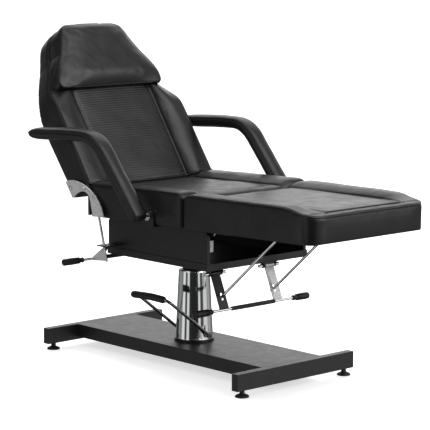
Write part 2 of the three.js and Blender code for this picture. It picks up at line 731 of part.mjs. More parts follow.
// Cross strap under the seat with upturned ears and studs for the armrests.
function addArmrests() {
  const [px, pz] = ARM.pivot;
  const { bottom, top, near, half, stud, studEnd } = ARM_STRAP;
  const ear = new THREE.Shape();
  ear.moveTo(px - ARM.hub, bottom);
  ear.lineTo(px + ARM.hub, bottom);
  ear.absarc(px, pz, ARM.hub, 0, Math.PI);
  const ends = SIDES.flatMap(([, side]) => [
    onSide(side, ear, near, half),
    sidePin(side, ARM.pivot, near + 2, studEnd, stud),
  ]);
  const crossBar = block([px - ARM.hub, px + ARM.hub], [-half, half], [bottom, top]);
  add("armrest_strap", join(crossBar, ...ends), coat);

  const pad = strap([ARM_END, ARM_BEND, ARM_MID, ARM_TIP], ARM.thick / 2);
  const barTip = [ARM_TIP[0] + 60, ARM_TIP[1] + 3];
  const bar = (grow) =>
    strap([ARM.pivot, ARM_BEND, ARM_MID, barTip], ARM_BAR.thick / 2 + grow);
  const inside = ARM.y - ARM.width / 2;
  for (const [name, side] of SIDES) {
    const hub = (grow) => join(
      sidePin(side, ARM.pivot, half + 0.5, inside - 0.5, ARM.hub, 20),
      sidePin(side, ARM.pivot, half + 5, ARM.y + grow, ARM_BAR.stub + grow),
    );
    const flat = (grow) =>
      onSide(side, bar(grow), ARM.y - ARM_BAR.half - grow, ARM.y + ARM_BAR.half + grow);
    const bore = sidePin(side, ARM.pivot, near - 1, studEnd + 1, stud + GAP);
    add(`armrest_bar_${name}`, cut(join(hub(0), flat(0)), bore), chrome);

    const body = onSide(side, pad, inside, ARM.y + ARM.width / 2);
    add(`armrest_pad_${name}`, cut(body, hub(0.5), flat(0.5)), leather);
  }
}

addBase();
addPump();
addPedal();
addTray();
addFrontHingeFrame();
addRearHingeFrame();
addSeat();
addLegSection();
addLegRods();
addFrontLock();
addRearLock();
addBack();
addArches();
addArmrests();

export default bed;
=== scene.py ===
"""Looks of a facial treatment bed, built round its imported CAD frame.

Metres, +Z up. The sitter faces +X and has +Y on the left. Each cushion is made in its own axes: v across the
bed, u along the cushion and w out of its face, and a matrix puts it in place.
"""

import json
import math

import bmesh
import bpy
import numpy as np
from mathutils import Matrix, Vector, noise
from mathutils.bvhtree import BVHTree
from mathutils.kdtree import KDTree


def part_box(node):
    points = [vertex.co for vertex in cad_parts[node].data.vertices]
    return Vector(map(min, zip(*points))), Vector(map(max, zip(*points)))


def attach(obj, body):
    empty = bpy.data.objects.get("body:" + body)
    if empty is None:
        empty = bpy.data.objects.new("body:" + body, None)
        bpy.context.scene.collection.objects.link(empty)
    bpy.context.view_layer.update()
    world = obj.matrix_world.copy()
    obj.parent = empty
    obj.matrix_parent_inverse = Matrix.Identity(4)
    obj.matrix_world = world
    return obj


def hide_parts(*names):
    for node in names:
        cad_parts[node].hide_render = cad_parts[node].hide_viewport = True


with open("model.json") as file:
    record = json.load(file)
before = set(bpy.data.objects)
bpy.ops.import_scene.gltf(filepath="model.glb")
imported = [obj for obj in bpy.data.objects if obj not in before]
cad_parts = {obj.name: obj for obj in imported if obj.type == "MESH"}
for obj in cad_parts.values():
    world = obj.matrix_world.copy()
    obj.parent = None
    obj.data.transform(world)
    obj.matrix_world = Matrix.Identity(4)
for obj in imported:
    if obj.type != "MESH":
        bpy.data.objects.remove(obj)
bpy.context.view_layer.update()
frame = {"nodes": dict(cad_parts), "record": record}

SIDES = (("left", 1), ("right", -1))

# ---------------------------------------------------------------- driving dimensions
COLUMN_X = -0.0870  # pump axis

HALF = 0.3085 # half the width of the upholstery
PANEL = 0.190  # half the width of the ribbed panel between the side bolsters
RIB_PITCH = 0.010
PIPING = 0.0024  # radius
VOXEL = 0.006  # grain of the simulated covers

SEAT_SINK = 0.020  # how far the ribbed panels lie below the side bolsters
LEG_SINK = 0.018
LEG_TAPER = 0.024  # how much narrower the foot is on each side
BACK_SINK = 0.019
UNDER_RISE = 0.0241  # slope of the seat's underside
LEG_UNDER_RISE = 0.0145

BACK_TILT = math.radians(34.4)  # backwards from upright

ARM_END = (0.127, 0.584)  # armrest points in (x, z) from the column's foot
ARM_BEND = (-0.108, 0.857)
ARM_MID = (-0.240, 0.858)
ARM_TIP = (-0.498, 0.843)
ARM_CORNER = 0.062
ARM_WIDTH = 0.036  # half sizes of the pad's section
ARM_THICK = 0.0222

PEDAL_ARM = 0.083
PEDAL_REACH = 0.202
PEDAL_RISE = 0.266

CAMERA_PLACE = (5.25875, -4.73326, 1.58468)  # from the column's foot
CAMERA_LOOK = (-0.7283, 0.6699, -0.1445)
CAMERA_ROLL = 0.1005
CAMERA_AZIMUTH = 47.39
CAMERA_LENS = 162.39


# Brightness of the studio in reflections: by bearing from the camera in degrees, positive to the
# picture's right, and by the height of the direction as a share.
STUDIO_LOW = (
    (-180, 0.15), (-130, 0.20), (-115, 0.35), (-100, 0.28), (-92, 0.22), (-86, 0.30), (-80, 0.90),
    (-66, 0.95), (-60, 0.08), (-50, 0.06), (-46, 0.90), (-34, 0.80), (-30, 0.03), (0, 0.02),
    (26, 0.03), (30, 0.90), (40, 0.80), (44, 0.06), (60, 0.10), (66, 0.80), (92, 0.80),
    (98, 0.30), (112, 0.50), (125, 0.30), (150, 0.15), (180, 0.15),
)
STUDIO_HIGH = (
    (-180, 1.6), (-158, 1.5), (-146, 0.30), (-130, 0.08), (-100, 0.06), (-92, 0.15), (-60, 0.6),
    (-46, 1.2), (-34, 0.8), (-28, 0.05), (0, 0.05), (30, 0.4), (46, 2.6), (56, 4.4), (76, 4.4),
    (90, 1.5), (97, 0.45), (125, 0.30), (140, 0.9), (152, 1.6), (180, 1.9),
)
STUDIO_TOP = 4.5  # the brightest value above


# ---------------------------------------------------------------- materials
class Shader:
    """A material with a Principled shader and short calls for the nodes that feed it."""

    def __init__(self, name, color, roughness, metallic=0.0):
        self.material = bpy.data.materials.new(name)
        self.material.use_nodes = True
        self.material.diffuse_color = (*color, 1)
        self.tree = self.material.node_tree
        self.tree.nodes.clear()
        self.principled = self.node("ShaderNodeBsdfPrincipled")
        output = self.node("ShaderNodeOutputMaterial")
        self.link(self.principled.outputs["BSDF"], output.inputs["Surface"])
        self.set("Base Color", (*color, 1))
        self.set("Roughness", roughness)
        self.set("Metallic", metallic)
        self.place = self.node("ShaderNodeTexCoord").outputs["Object"]

    def node(self, kind):
        return self.tree.nodes.new(kind)

    def link(self, output, target):
        self.tree.links.new(output, target)

    def set(self, name, value):
        self.principled.inputs[name].default_value = value

    def stretched(self, scale):
        mapping = self.node("ShaderNodeMapping")
        mapping.inputs["Scale"].default_value = scale
        self.link(self.place, mapping.inputs["Vector"])
        return mapping.outputs["Vector"]

    def noise(self, scale, detail=3.0, vector=None):
        texture = self.node("ShaderNodeTexNoise")
        texture.inputs["Scale"].default_value = scale
        texture.inputs["Detail"].default_value = detail
        self.link(vector or self.place, texture.inputs["Vector"])
        return texture.outputs["Fac"]

    def cells(self, scale, vector=None):
        texture = self.node("ShaderNodeTexVoronoi")
        texture.feature = "SMOOTH_F1"
        texture.inputs["Scale"].default_value = scale
        self.link(vector or self.place, texture.inputs["Vector"])
        return texture.outputs["Distance"]

    def vary(self, name, source, low, high, start=0.3, end=0.7):
        """An input that runs from low to high as the source runs from start to end."""
        ramp = self.node("ShaderNodeMapRange")
        for key, value in zip(("From Min", "From Max", "To Min", "To Max"), (start, end, low, high)):
            ramp.inputs[key].default_value = value
        self.link(source, ramp.inputs["Value"])
        self.link(ramp.outputs["Result"], self.principled.inputs[name])

    def tint(self, source, dark, light, start=0.3, end=0.7):
        ramp = self.node("ShaderNodeValToRGB")
        for element, place, color in zip(ramp.color_ramp.elements, (start, end), (dark, light)):
            element.position = place
            element.color = (*color, 1)
        self.link(source, ramp.inputs["Fac"])
        self.link(ramp.outputs["Color"], self.principled.inputs["Base Color"])

    def bump(self, *layers):
        """Relief from (source, height in metres, strength) layers."""
        normal = None
        for source, height, strength in layers:
            bump = self.node("ShaderNodeBump")
            bump.inputs["Strength"].default_value = strength
            bump.inputs["Distance"].default_value = height
            self.link(source, bump.inputs["Height"])
            if normal:
                self.link(normal, bump.inputs["Normal"])
            normal = bump.outputs["Normal"]
        self.link(normal, self.principled.inputs["Normal"])


def leather_material():
    """Black artificial leather: pebbled grain, faint creases and an uneven semi-gloss."""
    shader = Shader("black_leather", (0.011, 0.011, 0.012), 0.4)
    shader.tint(shader.noise(9, 4), (0.0085, 0.0085, 0.009), (0.0135, 0.0135, 0.014))
    shader.vary("Roughness", shader.noise(23, 4), 0.30, 0.40)
    shader.set("Specular IOR Level", 0.42)
    grain = shader.cells(620)
    creases = shader.noise(160, 5)
    shader.bump((grain, 0.00022, 0.35), (creases, 0.0003, 0.25))
    return shader.material


def coat_material():
    """Satin black powder coat with its fine orange peel."""
    shader = Shader("powder_coat", (0.012, 0.012, 0.0125), 0.4)
    shader.tint(shader.noise(14, 3), (0.010, 0.010, 0.0105), (0.014, 0.014, 0.0145))
    shader.vary("Roughness", shader.noise(31, 3), 0.36, 0.43)
    shader.bump((shader.noise(900, 2), 0.00012, 0.3))
    return shader.material


def chrome_material():
    """Bright plating with faint smears."""
    shader = Shader("chrome", (0.86, 0.87, 0.88), 0.05, 1.0)
    shader.vary("Roughness", shader.noise(18, 5), 0.035, 0.11)
    shader.bump((shader.noise(40, 2), 0.0004, 0.04))
    return shader.material


def zinc_material():
    """Satin zinc plate with a drawn grain."""
    shader = Shader("zinc_plate", (0.75, 0.76, 0.77), 0.3, 0.3)
    grain = shader.noise(60, 3, shader.stretched((1, 1, 18)))
    shader.tint(shader.noise(35, 4), (0.72, 0.725, 0.735), (0.86, 0.87, 0.88))
    shader.vary("Roughness", grain, 0.22, 0.36)
    shader.bump((grain, 0.0001, 0.2))
    return shader.material


def rubber_material():
    """Matte black rubber."""
    shader = Shader("black_rubber", (0.010, 0.010, 0.010), 0.55)
    shader.vary("Roughness", shader.noise(50, 3), 0.48, 0.62)
    shader.bump((shader.noise(1500, 2), 0.0001, 0.4))
    return shader.material


def plywood_material():
    """Plywood stained dark, with its grain along the bed."""
    shader = Shader("dark_plywood", (0.035, 0.028, 0.022), 0.7)
    grain = shader.noise(18, 6, shader.stretched((0.6, 9, 9)))
    shader.tint(grain, (0.020, 0.016, 0.013), (0.060, 0.048, 0.038))
    shader.bump((grain, 0.0003, 0.3))
    return shader.material


MATERIALS = {
    "leather": leather_material(),
    "coat": coat_material(),
    "chrome": chrome_material(),
    "zinc": zinc_material(),
    "rubber": rubber_material(),
    "plywood": plywood_material(),
}


# ---------------------------------------------------------------- mesh helpers
class Builder:
    """Gathers vertices and faces of one object."""

    def __init__(self):
        self.verts = []
        self.faces = []

    def add(self, verts, faces, place=None):
        first = len(self.verts)
        self.verts += [place @ v for v in verts] if place else verts
        self.faces += [[i + first for i in face] for face in faces]

    def build(self, name, sharp=40):
        mesh = bpy.data.meshes.new(name)
        mesh.from_pydata(self.verts, [], self.faces)
        tidy = bmesh.new()
        tidy.from_mesh(mesh)
        bmesh.ops.recalc_face_normals(tidy, faces=tidy.faces)
        tidy.to_mesh(mesh)
        tidy.free()
        piece = bpy.data.objects.new(name, mesh)
        bpy.context.scene.collection.objects.link(piece)
        shade(piece, sharp)
        return piece


def shade(piece, sharp=None):
    piece.data.polygons.foreach_set("use_smooth", [True] * len(piece.data.polygons))
    if sharp:
        piece.data.set_sharp_from_angle(angle=math.radians(sharp))


def settle(piece, body, slot, *nodes):
    """Gives a finished piece its material and body, and the CAD nodes that it stands for."""
    piece.data.materials.clear()
    piece.data.materials.append(MATERIALS[SLOT_OVERRIDES_AND_PAINTED_SHADE.get(piece.name, slot)])
    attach(piece, body)
    if nodes:
        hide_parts(*nodes)


def ring_faces(rings, sides, closed=False):
    """Quads between rings of points, with the two ends filled unless the run of rings is closed."""
    faces = []
    for i in range(rings if closed else rings - 1):
        a, b = i * sides, ((i + 1) % rings) * sides
        faces += [[a + j, a + (j + 1) % sides, b + (j + 1) % sides, b + j] for j in range(sides)]
    if not closed:
        faces.append(list(range(sides))[::-1])
        faces.append([(rings - 1) * sides + j for j in range(sides)])
    return faces


def tube(points, radius, sides=12, closed=False):
    """A round tube along points. radius is one number, or one for each point."""
    points = [Vector(p) for p in points]
    count = len(points)
    radii = radius if isinstance(radius, list) else [radius] * count
    side = None
    verts = []
    for i, point in enumerate(points):
        ahead = points[(i + 1) % count] if closed else points[min(i + 1, count - 1)]
        behind = points[i - 1] if closed else points[max(i - 1, 0)]
        run = (ahead - behind).normalized()
        if side is None:
            side = run.orthogonal()
        side = (side - run * side.dot(run)).normalized()
        other = run.cross(side)
        for j in range(sides):
            angle = 2 * math.pi * j / sides
            verts.append(point + (side * math.cos(angle) + other * math.sin(angle)) * radii[i])
    return verts, ring_faces(count, sides, closed)


def lathe(profile, sides=48):
    """A turned solid round +Z from (radius, height) points. It closes on the axis or on itself."""
    verts = []
    for radius, height in profile:
        for j in range(sides):
            angle = 2 * math.pi * j / sides
            verts.append(Vector((radius * math.cos(angle), radius * math.sin(angle), height)))
    return verts, ring_faces(len(profile), sides)


def hollow_lathe(profile, sides=48):
    """A turned ring: the profile closes on itself and never meets the axis."""
    verts, _ = lathe(profile, sides)
    return verts, ring_faces(len(profile), sides, closed=True)


def along(start, end):
    """The matrix that carries +Z onto the line from start to end, with its origin at start."""
    start, end = Vector(start), Vector(end)
    turn = (end - start).to_track_quat("Z", "Y").to_matrix().to_4x4()
    return Matrix.Translation(start) @ turn


def bar(radius, length, chamfer=0.001):
    """Profile of a round bar with chamfered ends."""
    return [
        (0.0001, 0), (radius - chamfer, 0), (radius, chamfer),
        (radius, length - chamfer), (radius - chamfer, length), (0.0001, length),
    ]


def screw_head(radius, height):
    """Profile of a domed screw head standing on its washer."""
    return [
        (0.0001, 0), (radius * 1.35, 0), (radius * 1.35, height * 0.25), (radius, height * 0.3),
        (radius * 0.96, height * 0.7), (radius * 0.7, height * 0.95), (0.0001, height),
    ]


def rounded_path(points, corner, step=0.006):
    """Points a step apart along a line whose inner corners are rounded off."""
    spots = [Vector(p) for p in points]
    dense = [spots[0]]
    for before, at, after in zip(spots, spots[1:], spots[2:]):
        enter = at + (before - at).normalized() * corner
        leave = at + (after - at).normalized() * corner
        for i in range(13):
            t = i / 12
            dense.append(enter * (1 - t) ** 2 + at * 2 * t * (1 - t) + leave * t * t)
    dense.append(spots[-1])
    return resample(dense, step)


def resample(points, step, closed=False):
    """The same polyline with points spaced evenly, about a step apart."""
    loop = list(points) + ([points[0]] if closed else [])
    line = np.array([tuple(p) for p in loop])
    runs = np.linalg.norm(np.diff(line, axis=0), axis=1)
    reach = np.concatenate([[0], np.cumsum(runs)])
    count = max(int(round(reach[-1] / step)), 2)
    wanted = np.linspace(0, reach[-1], count + 1)
    if closed:
        wanted = wanted[:-1]
    columns = [np.interp(wanted, reach, line[:, k]) for k in range(line.shape[1])]
    return [Vector(row) for row in zip(*columns)]


def smoothstep(t):
    t = min(max(t, 0.0), 1.0)
    return t * t * (3 - 2 * t)


def rounding(distance, radius):
    """How far a rounded edge has fallen below its face, at a distance from the edge."""
    if distance >= radius:
        return 0.0
    return radius - math.sqrt(max(radius**2 - (radius - max(distance, 0)) ** 2, 0.0))


def coordinates(mesh):
    values = np.empty(len(mesh.vertices) * 3)
    mesh.vertices.foreach_get("co", values)
    return values.reshape(-1, 3)


def normals(mesh):
    values = np.empty(len(mesh.vertices) * 3)
    mesh.vertices.foreach_get("normal", values)
    return values.reshape(-1, 3)


def move_vertices(mesh, values):
    mesh.vertices.foreach_set("co", np.asarray(values, float).ravel())
    mesh.update()


def apply_modifiers(piece):
    """Bakes a piece's modifiers into its mesh."""
    depsgraph = bpy.context.evaluated_depsgraph_get()
    made = bpy.data.meshes.new_from_object(piece.evaluated_get(depsgraph))
    piece.modifiers.clear()
    piece.data = made


# ---------------------------------------------------------------- cushions
class Cushion:
    """The shape of one cushion: half(u) is its half width, face(v, u) and back(v, u) its two faces."""

    def __init__(self, place, start, end, half, face, back):
        self.place, self.start, self.end = place, start, end
        self.half, self.face, self.back = half, face, back

    def point(self, v, u, w):
        return self.place @ Vector((v, u, w))

    def local(self, values):
        """Row-frame points as (v, u, w)."""
        inverse = np.array(self.place.inverted())
        return values @ inverse[:3, :3].T + inverse[:3, 3]

    def shell(self, name, rows=90, columns=72):
        """The closed cage: a grid for each face, joined round their border."""
        builder = Builder()
        grid = []
        for side in (self.face, self.back):
            for i in range(rows + 1):
                u = self.start + (self.end - self.start) * (1 - math.cos(math.pi * i / rows)) / 2
                for j in range(columns + 1):
                    v = self.half(u) * math.sin(math.pi * (j / columns - 0.5))
                    grid.append(self.point(v, u, side(v, u)))
        width = columns + 1
        layer = width * (rows + 1)
        faces = [
            [k * layer + i * width + j for i, j in ((r, c), (r, c + 1), (r + 1, c + 1), (r + 1, c))]
            for k in (0, 1) for r in range(rows) for c in range(columns)
        ]
        border = [c for c in range(columns)]
        border += [r * width + columns for r in range(rows)]
        border += [rows * width + c for c in range(columns, 0, -1)]
        border += [r * width for r in range(rows, 0, -1)]
        for a, b in zip(border, border[1:] + border[:1]):
            faces.append([a, b, b + layer, a + layer])
        builder.add(grid, faces)
        return builder.build(name, sharp=None)

    def rim(self, inset, drop, step=0.006):
        """The loop of (v, u, w) round the face, inset from the outline and dropped below the face."""
        start, end = self.start + inset, self.end - inset
        count = 60
        up = [start + (end - start) * i / count for i in range(count + 1)]
        right = [(self.half(u) - inset, u) for u in up]
        left = [(-v, u) for v, u in reversed(right)]
        loop = resample([Vector((v, u, 0)) for v, u in right + left], step, closed=True)
        loop = relax(loop, 2)
        return [Vector((p.x, p.y, self.face(p.x, p.y) - drop)) for p in loop]


def relax(loop, passes):
    """Softens the corners of a closed loop."""
    for _ in range(passes):
        loop = [(loop[i - 1] + loop[i] * 2 + loop[(i + 1) % len(loop)]) / 4 for i in range(len(loop))]
    return loop


def bolster(v, half):
    """0 on the ribbed panel, rising over the side bolster to 1 near its outer edge."""
    t = (abs(v) - PANEL) / (half - PANEL)
    if t <= 0:
        return 0.0
    return math.sin(math.pi / 2 * min(t / 0.5, 1)) ** 0.8


def crest(v, half):
    """A low hump along the middle of the side bolster."""
    t = (abs(v) - PANEL) / (half - PANEL)
    return math.sin(math.pi * t) if 0 < t < 1 else 0.0


def remesh(piece, voxel):
    modifier = piece.modifiers.new("grain", "REMESH")
    modifier.mode = "VOXEL"
    modifier.voxel_size = voxel
    modifier.use_smooth_shade = True
    apply_modifiers(piece)


def inflate(piece, fixed, cap, pressure=4.0):
    """Swells a cover between its seams by cloth simulation. fixed marks the vertices held by seams
    and boards, and cap limits how far each point may move."""
    group = piece.vertex_groups.new(name="held")
    group.add([int(i) for i in np.flatnonzero(fixed)], 1.0, "REPLACE")
    before = coordinates(piece.data)
    modifier = piece.modifiers.new("cloth", "CLOTH")
    cloth = modifier.settings
    cloth.vertex_group_mass = "held"
    cloth.use_pressure = True
    cloth.uniform_pressure_force = pressure
    cloth.effector_weights.gravity = 0
    cloth.quality = 4
    cloth.bending_stiffness = 2.0
    modifier.point_cache.frame_start = 1
    modifier.point_cache.frame_end = 20
    for step in range(1, 21):
        bpy.context.scene.frame_set(step)
    apply_modifiers(piece)
    bpy.context.scene.frame_set(1)
    shift = coordinates(piece.data) - before
    reach = np.linalg.norm(shift, axis=1)
    shift *= np.minimum(1, cap / np.maximum(reach, 1e-9))[:, None]
    move_vertices(piece.data, before + averaged(piece.data, shift, 4))
    piece.vertex_groups.clear()


def averaged(mesh, values, passes):
    """Vertex values blended with those of their neighbours."""
    edges = np.empty(len(mesh.edges) * 2, dtype=int)
    mesh.edges.foreach_get("vertices", edges)
    a, b = edges.reshape(-1, 2).T
    degree = np.bincount(edges, minlength=len(values))[:, None]
    for _ in range(passes):
        total = np.zeros_like(values)
        np.add.at(total, a, values[b])
        np.add.at(total, b, values[a])
        values = (values + total / degree) / 2
    return values


def refine(piece, levels=1):
    modifier = piece.modifiers.new("fine", "SUBSURF")
    modifier.levels = modifier.render_levels = levels
    apply_modifiers(piece)


def press(piece, line, depth, width):
    """Presses a seam's groove into a piece along points of the row frame."""
    tree = KDTree(len(line))
    for i, point in enumerate(line):
        tree.insert(point, i)
    tree.balance()
    values, outward = coordinates(piece.data), normals(piece.data)
    distance = np.array([tree.find(v)[2] for v in values])
    values -= outward * (depth * np.exp(-((distance / width) ** 2)))[:, None]
    move_vertices(piece.data, values)


def uneven(piece, height, size, seed, out=None):
    """Soft unevenness of a stuffed cover. A face that looks away from out stays flat."""
    values, outward = coordinates(piece.data), normals(piece.data)
    shift = Vector((seed, seed * 2, seed * 3))
    bulge = height * np.array([noise.noise(Vector(v) / size + shift) for v in values])
    if out is not None:
        bulge *= np.clip(1.4 + 2 * (outward @ out), 0, 1)
    move_vertices(piece.data, values + outward * bulge[:, None])


def surface_of(piece):
    depsgraph = bpy.context.evaluated_depsgraph_get()
    return BVHTree.FromObject(piece, depsgraph)


def snapped(points, surface, lift=0.0):
    """Points moved onto a surface, and lifted off it."""
    made = []
    for point in points:
        spot, normal, _, _ = surface.find_nearest(point)
        made.append(spot + normal * lift)
    return made


def piping(name, loops, radius, body, closed=True):
    """Welt cords along closed loops of row-frame points."""
    builder = Builder()
    for loop in loops:
        builder.add(*tube(loop, radius, 10, closed))
    piece = builder.build(name, sharp=None)
    settle(piece, body, "leather")


def stitches(name, lines, surface, body, pitch=0.0075, length=0.0048, radius=0.00045):
    """Thread along seam lines: short capsules that dip into the cover at both ends."""
    builder = Builder()
    for line in lines:
        spots = resample(line, pitch)
        for here, there in zip(spots, spots[1:]):
            run = (there - here).normalized() * length
            points = []
            for t, lift in ((0, -0.0006), (0.15, 0.0002), (0.5, 0.0005), (0.85, 0.0002), (1, -0.0006)):
                spot, normal, _, _ = surface.find_nearest(here + run * t)
                points.append(spot + normal * lift)
            builder.add(*tube(points, radius, 6))
    settle(builder.build(name, sharp=None), body, "leather")


def ribbed_panel(name, cushion, surface, start, end, body, relief, half=PANEL - 0.002):
    """The ribbed sheet between the bolsters: it follows the cover and dives into the seams round it."""
    step, columns = 0.00125, 40
    rows = int(round((end - start) / step))
    out = cushion.place.to_3x3() @ Vector((0, 0, 1))
    us = np.linspace(start, end, rows + 1)
    vs = np.linspace(-half, half, columns + 1)
    heights = np.empty((rows + 1, columns + 1))
    for i, u in enumerate(us):
        for j, v in enumerate(vs):
            spot, _, _, distance = surface.ray_cast(cushion.point(v, u, 0.05), -out)
            heights[i, j] = 0.05 - distance if spot else cushion.face(v, u)
    heights = blurred(blurred(heights, 9), 3, axis=1)
    edge = np.minimum(
        np.minimum(us - start, end - us)[:, None], np.minimum(vs + half, half - vs)[None, :]
    )
    tuck = np.clip(edge / 0.006, 0, 1)
    ribs = np.abs(np.sin(math.pi * us / RIB_PITCH))[:, None] ** 0.5
    top = heights - 0.0035 + (0.0040 + relief * ribs) * np.sin(tuck * math.pi / 2)
    under = heights - 0.006
    builder = Builder()
    verts = [cushion.point(v, u, layer[i, j])
             for layer in (top, under) for i, u in enumerate(us) for j, v in enumerate(vs)]
    width, layer = columns + 1, (columns + 1) * (rows + 1)
    faces = [[k * layer + r * width + c + d for d in (0, 1, width + 1, width)]
             for k in (0, 1) for r in range(rows) for c in range(columns)]
    border = [c for c in range(columns)] + [r * width + columns for r in range(rows)]
    border += [rows * width + c for c in range(columns, 0, -1)]
    border += [r * width for r in range(rows, 0, -1)]
    faces += [[a, b, b + layer, a + layer] for a, b in zip(border, border[1:] + border[:1])]
    builder.add(verts, faces)
    settle(builder.build(name, sharp=None), body, "leather")


def blurred(values, size, axis=0):
    """A running mean along one axis."""
    pad = size // 2
    widths = [(pad, pad) if k == axis else (0, 0) for k in range(2)]
    padded = np.pad(values, widths, mode="edge")
    kernel = np.ones(size) / size
    return np.apply_along_axis(lambda line: np.convolve(line, kernel, mode="valid"), axis, padded)


def cover(name, cushion, held, body, cap=0.008, side_cap=0.0025, seed=1.0):
    """A cushion's leather cover: shaped, swelled between its seams and refined."""
    piece = cushion.shell(name)
    remesh(piece, VOXEL)
    spots = cushion.local(coordinates(piece.data))
    out = np.array(cushion.place.to_3x3() @ Vector((0, 0, 1)))
    facing = normals(piece.data) @ out
    caps = np.where(facing > 0.5, cap, side_cap)
    inflate(piece, held(spots), caps)
    refine(piece)
    uneven(piece, 0.0012, 0.075, seed, out)
    uneven(piece, 0.0004, 0.022, seed + 5, out)
    shade(piece)
    return piece


def near_loop(loop, reach):
    """A test for points of (v, u, w) that lie within reach of a loop."""
    tree = KDTree(len(loop))
    for i, point in enumerate(loop):
        tree.insert(point, i)
    tree.balance()
    return lambda spots: np.array([tree.find(spot)[2] < reach for spot in spots])


# ---------------------------------------------------------------- places taken from the frame
seat_low, seat_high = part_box("seat_cushion")
leg_low, leg_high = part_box("leg_cushion")
back_low, back_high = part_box("back_cushion")

FLAT = Matrix(((0, 1, 0, 0), (1, 0, 0, 0), (0, 0, 1, 0), (0, 0, 0, 1)))  # (v, u, w) to (x, y, z)

BACK_THICK = 0.105
BACK_HEIGHT = 0.696
BACK_SPREAD = 0.0547  # how fast the backrest thickens upwards
back_place = Matrix.Translation(
    (back_high.x, 0, back_low.z + BACK_THICK * math.sin(BACK_TILT))
) @ Matrix((
    (0, -math.sin(BACK_TILT), math.cos(BACK_TILT), 0),
    (1, 0, 0, 0),
    (0, math.cos(BACK_TILT), math.sin(BACK_TILT), 0),
    (0, 0, 0, 1),
))


def on_column(x, z, y=0.0):
    """A point given from the foot of the pump column."""
    return Vector((x + COLUMN_X, y, z))


def bezier(points, count=12):
    """Points along a quadratic curve, without its first point."""
    a, b, c = (np.array(p) for p in points)
    made = []
    for i in range(1, count + 1):
        t = i / count
        made.append(tuple(a * (1 - t) ** 2 + b * 2 * t * (1 - t) + c * t * t))
    return made


def side_line(points):
    """half(u) through (v, u) points that rise in u."""
    vs, us = zip(*points)
    return lambda u: float(np.interp(u, us, vs))


# ---------------------------------------------------------------- seat
def make_seat():
    start, end = seat_low.x + 0.001, seat_high.x - 0.001
    rise = 0.013
    rear_top = seat_high.z - rise

    def half(u):
        return HALF - rounding(end - u, 0.008)

    def under(v, u):
        return seat_low.z + 0.0005 + (u - seat_low.x) * UNDER_RISE

    def face(v, u):
        top = rear_top + rise * (u - start) / (end - start)
        level = SEAT_SINK * (bolster(v, HALF) - 1) + 0.003 * crest(v, HALF)
        return top + level - rounding(end - u, 0.028) - rounding(u - start, 0.012) \
            - rounding(HALF - abs(v), 0.007)

    cushion = Cushion(FLAT, start, end, half, face, under)
    edges = []
    for _, side in SIDES:
        v = side * HALF
        line = [Vector((v, start + 0.004, face(v, start + 0.02) + 0.006))]
        for i in range(21):
            u = start + 0.012 + (end - 0.03 - start - 0.012) * i / 20
            line.append(Vector((v, u, face(v, u) + 0.006)))
        for i in range(1, 10):
            a = math.pi / 2 * i / 9
            line.append(Vector((
                v - side * 0.002 * i / 9, end - 0.028 + 0.028 * math.sin(a),
                face(v, end - 0.03) + 0.006 - 0.028 * (1 - math.cos(a)),
            )))
        line.append(Vector((v - side * 0.002, end, under(v, end) + 0.006)))
        edges.append(resample(line, 0.006))
    grooves = [
        resample([Vector((s * PANEL, start, face(PANEL, start + 0.02))),
                  Vector((s * PANEL, end - 0.03, face(PANEL, end - 0.03)))], 0.006)
        for _, s in SIDES
    ]
    near = near_loop(edges[0] + edges[1] + grooves[0] + grooves[1], 0.007)

    def held(spots):
        return near(spots) | (spots[:, 2] < np.array([under(0, u) + 0.004 for u in spots[:, 1]]))

    piece = cover("seat_cover", cushion, held, "seat_frame", cap=0.005, seed=1.0)
    for line in edges + grooves:
        press(piece, [FLAT @ p for p in line], 0.003, 0.006)
    settle(piece, "seat_frame", "leather", "seat_cushion")
    surface = surface_of(piece)
    cords = [snapped([FLAT @ p for p in line], surface, 0.0006) for line in edges]
    piping("seat_piping", cords, PIPING, "seat_frame", closed=False)
    ribbed_panel("seat_panel", cushion, surface, start + 0.004, end - 0.034, "seat_frame", 0.0017)


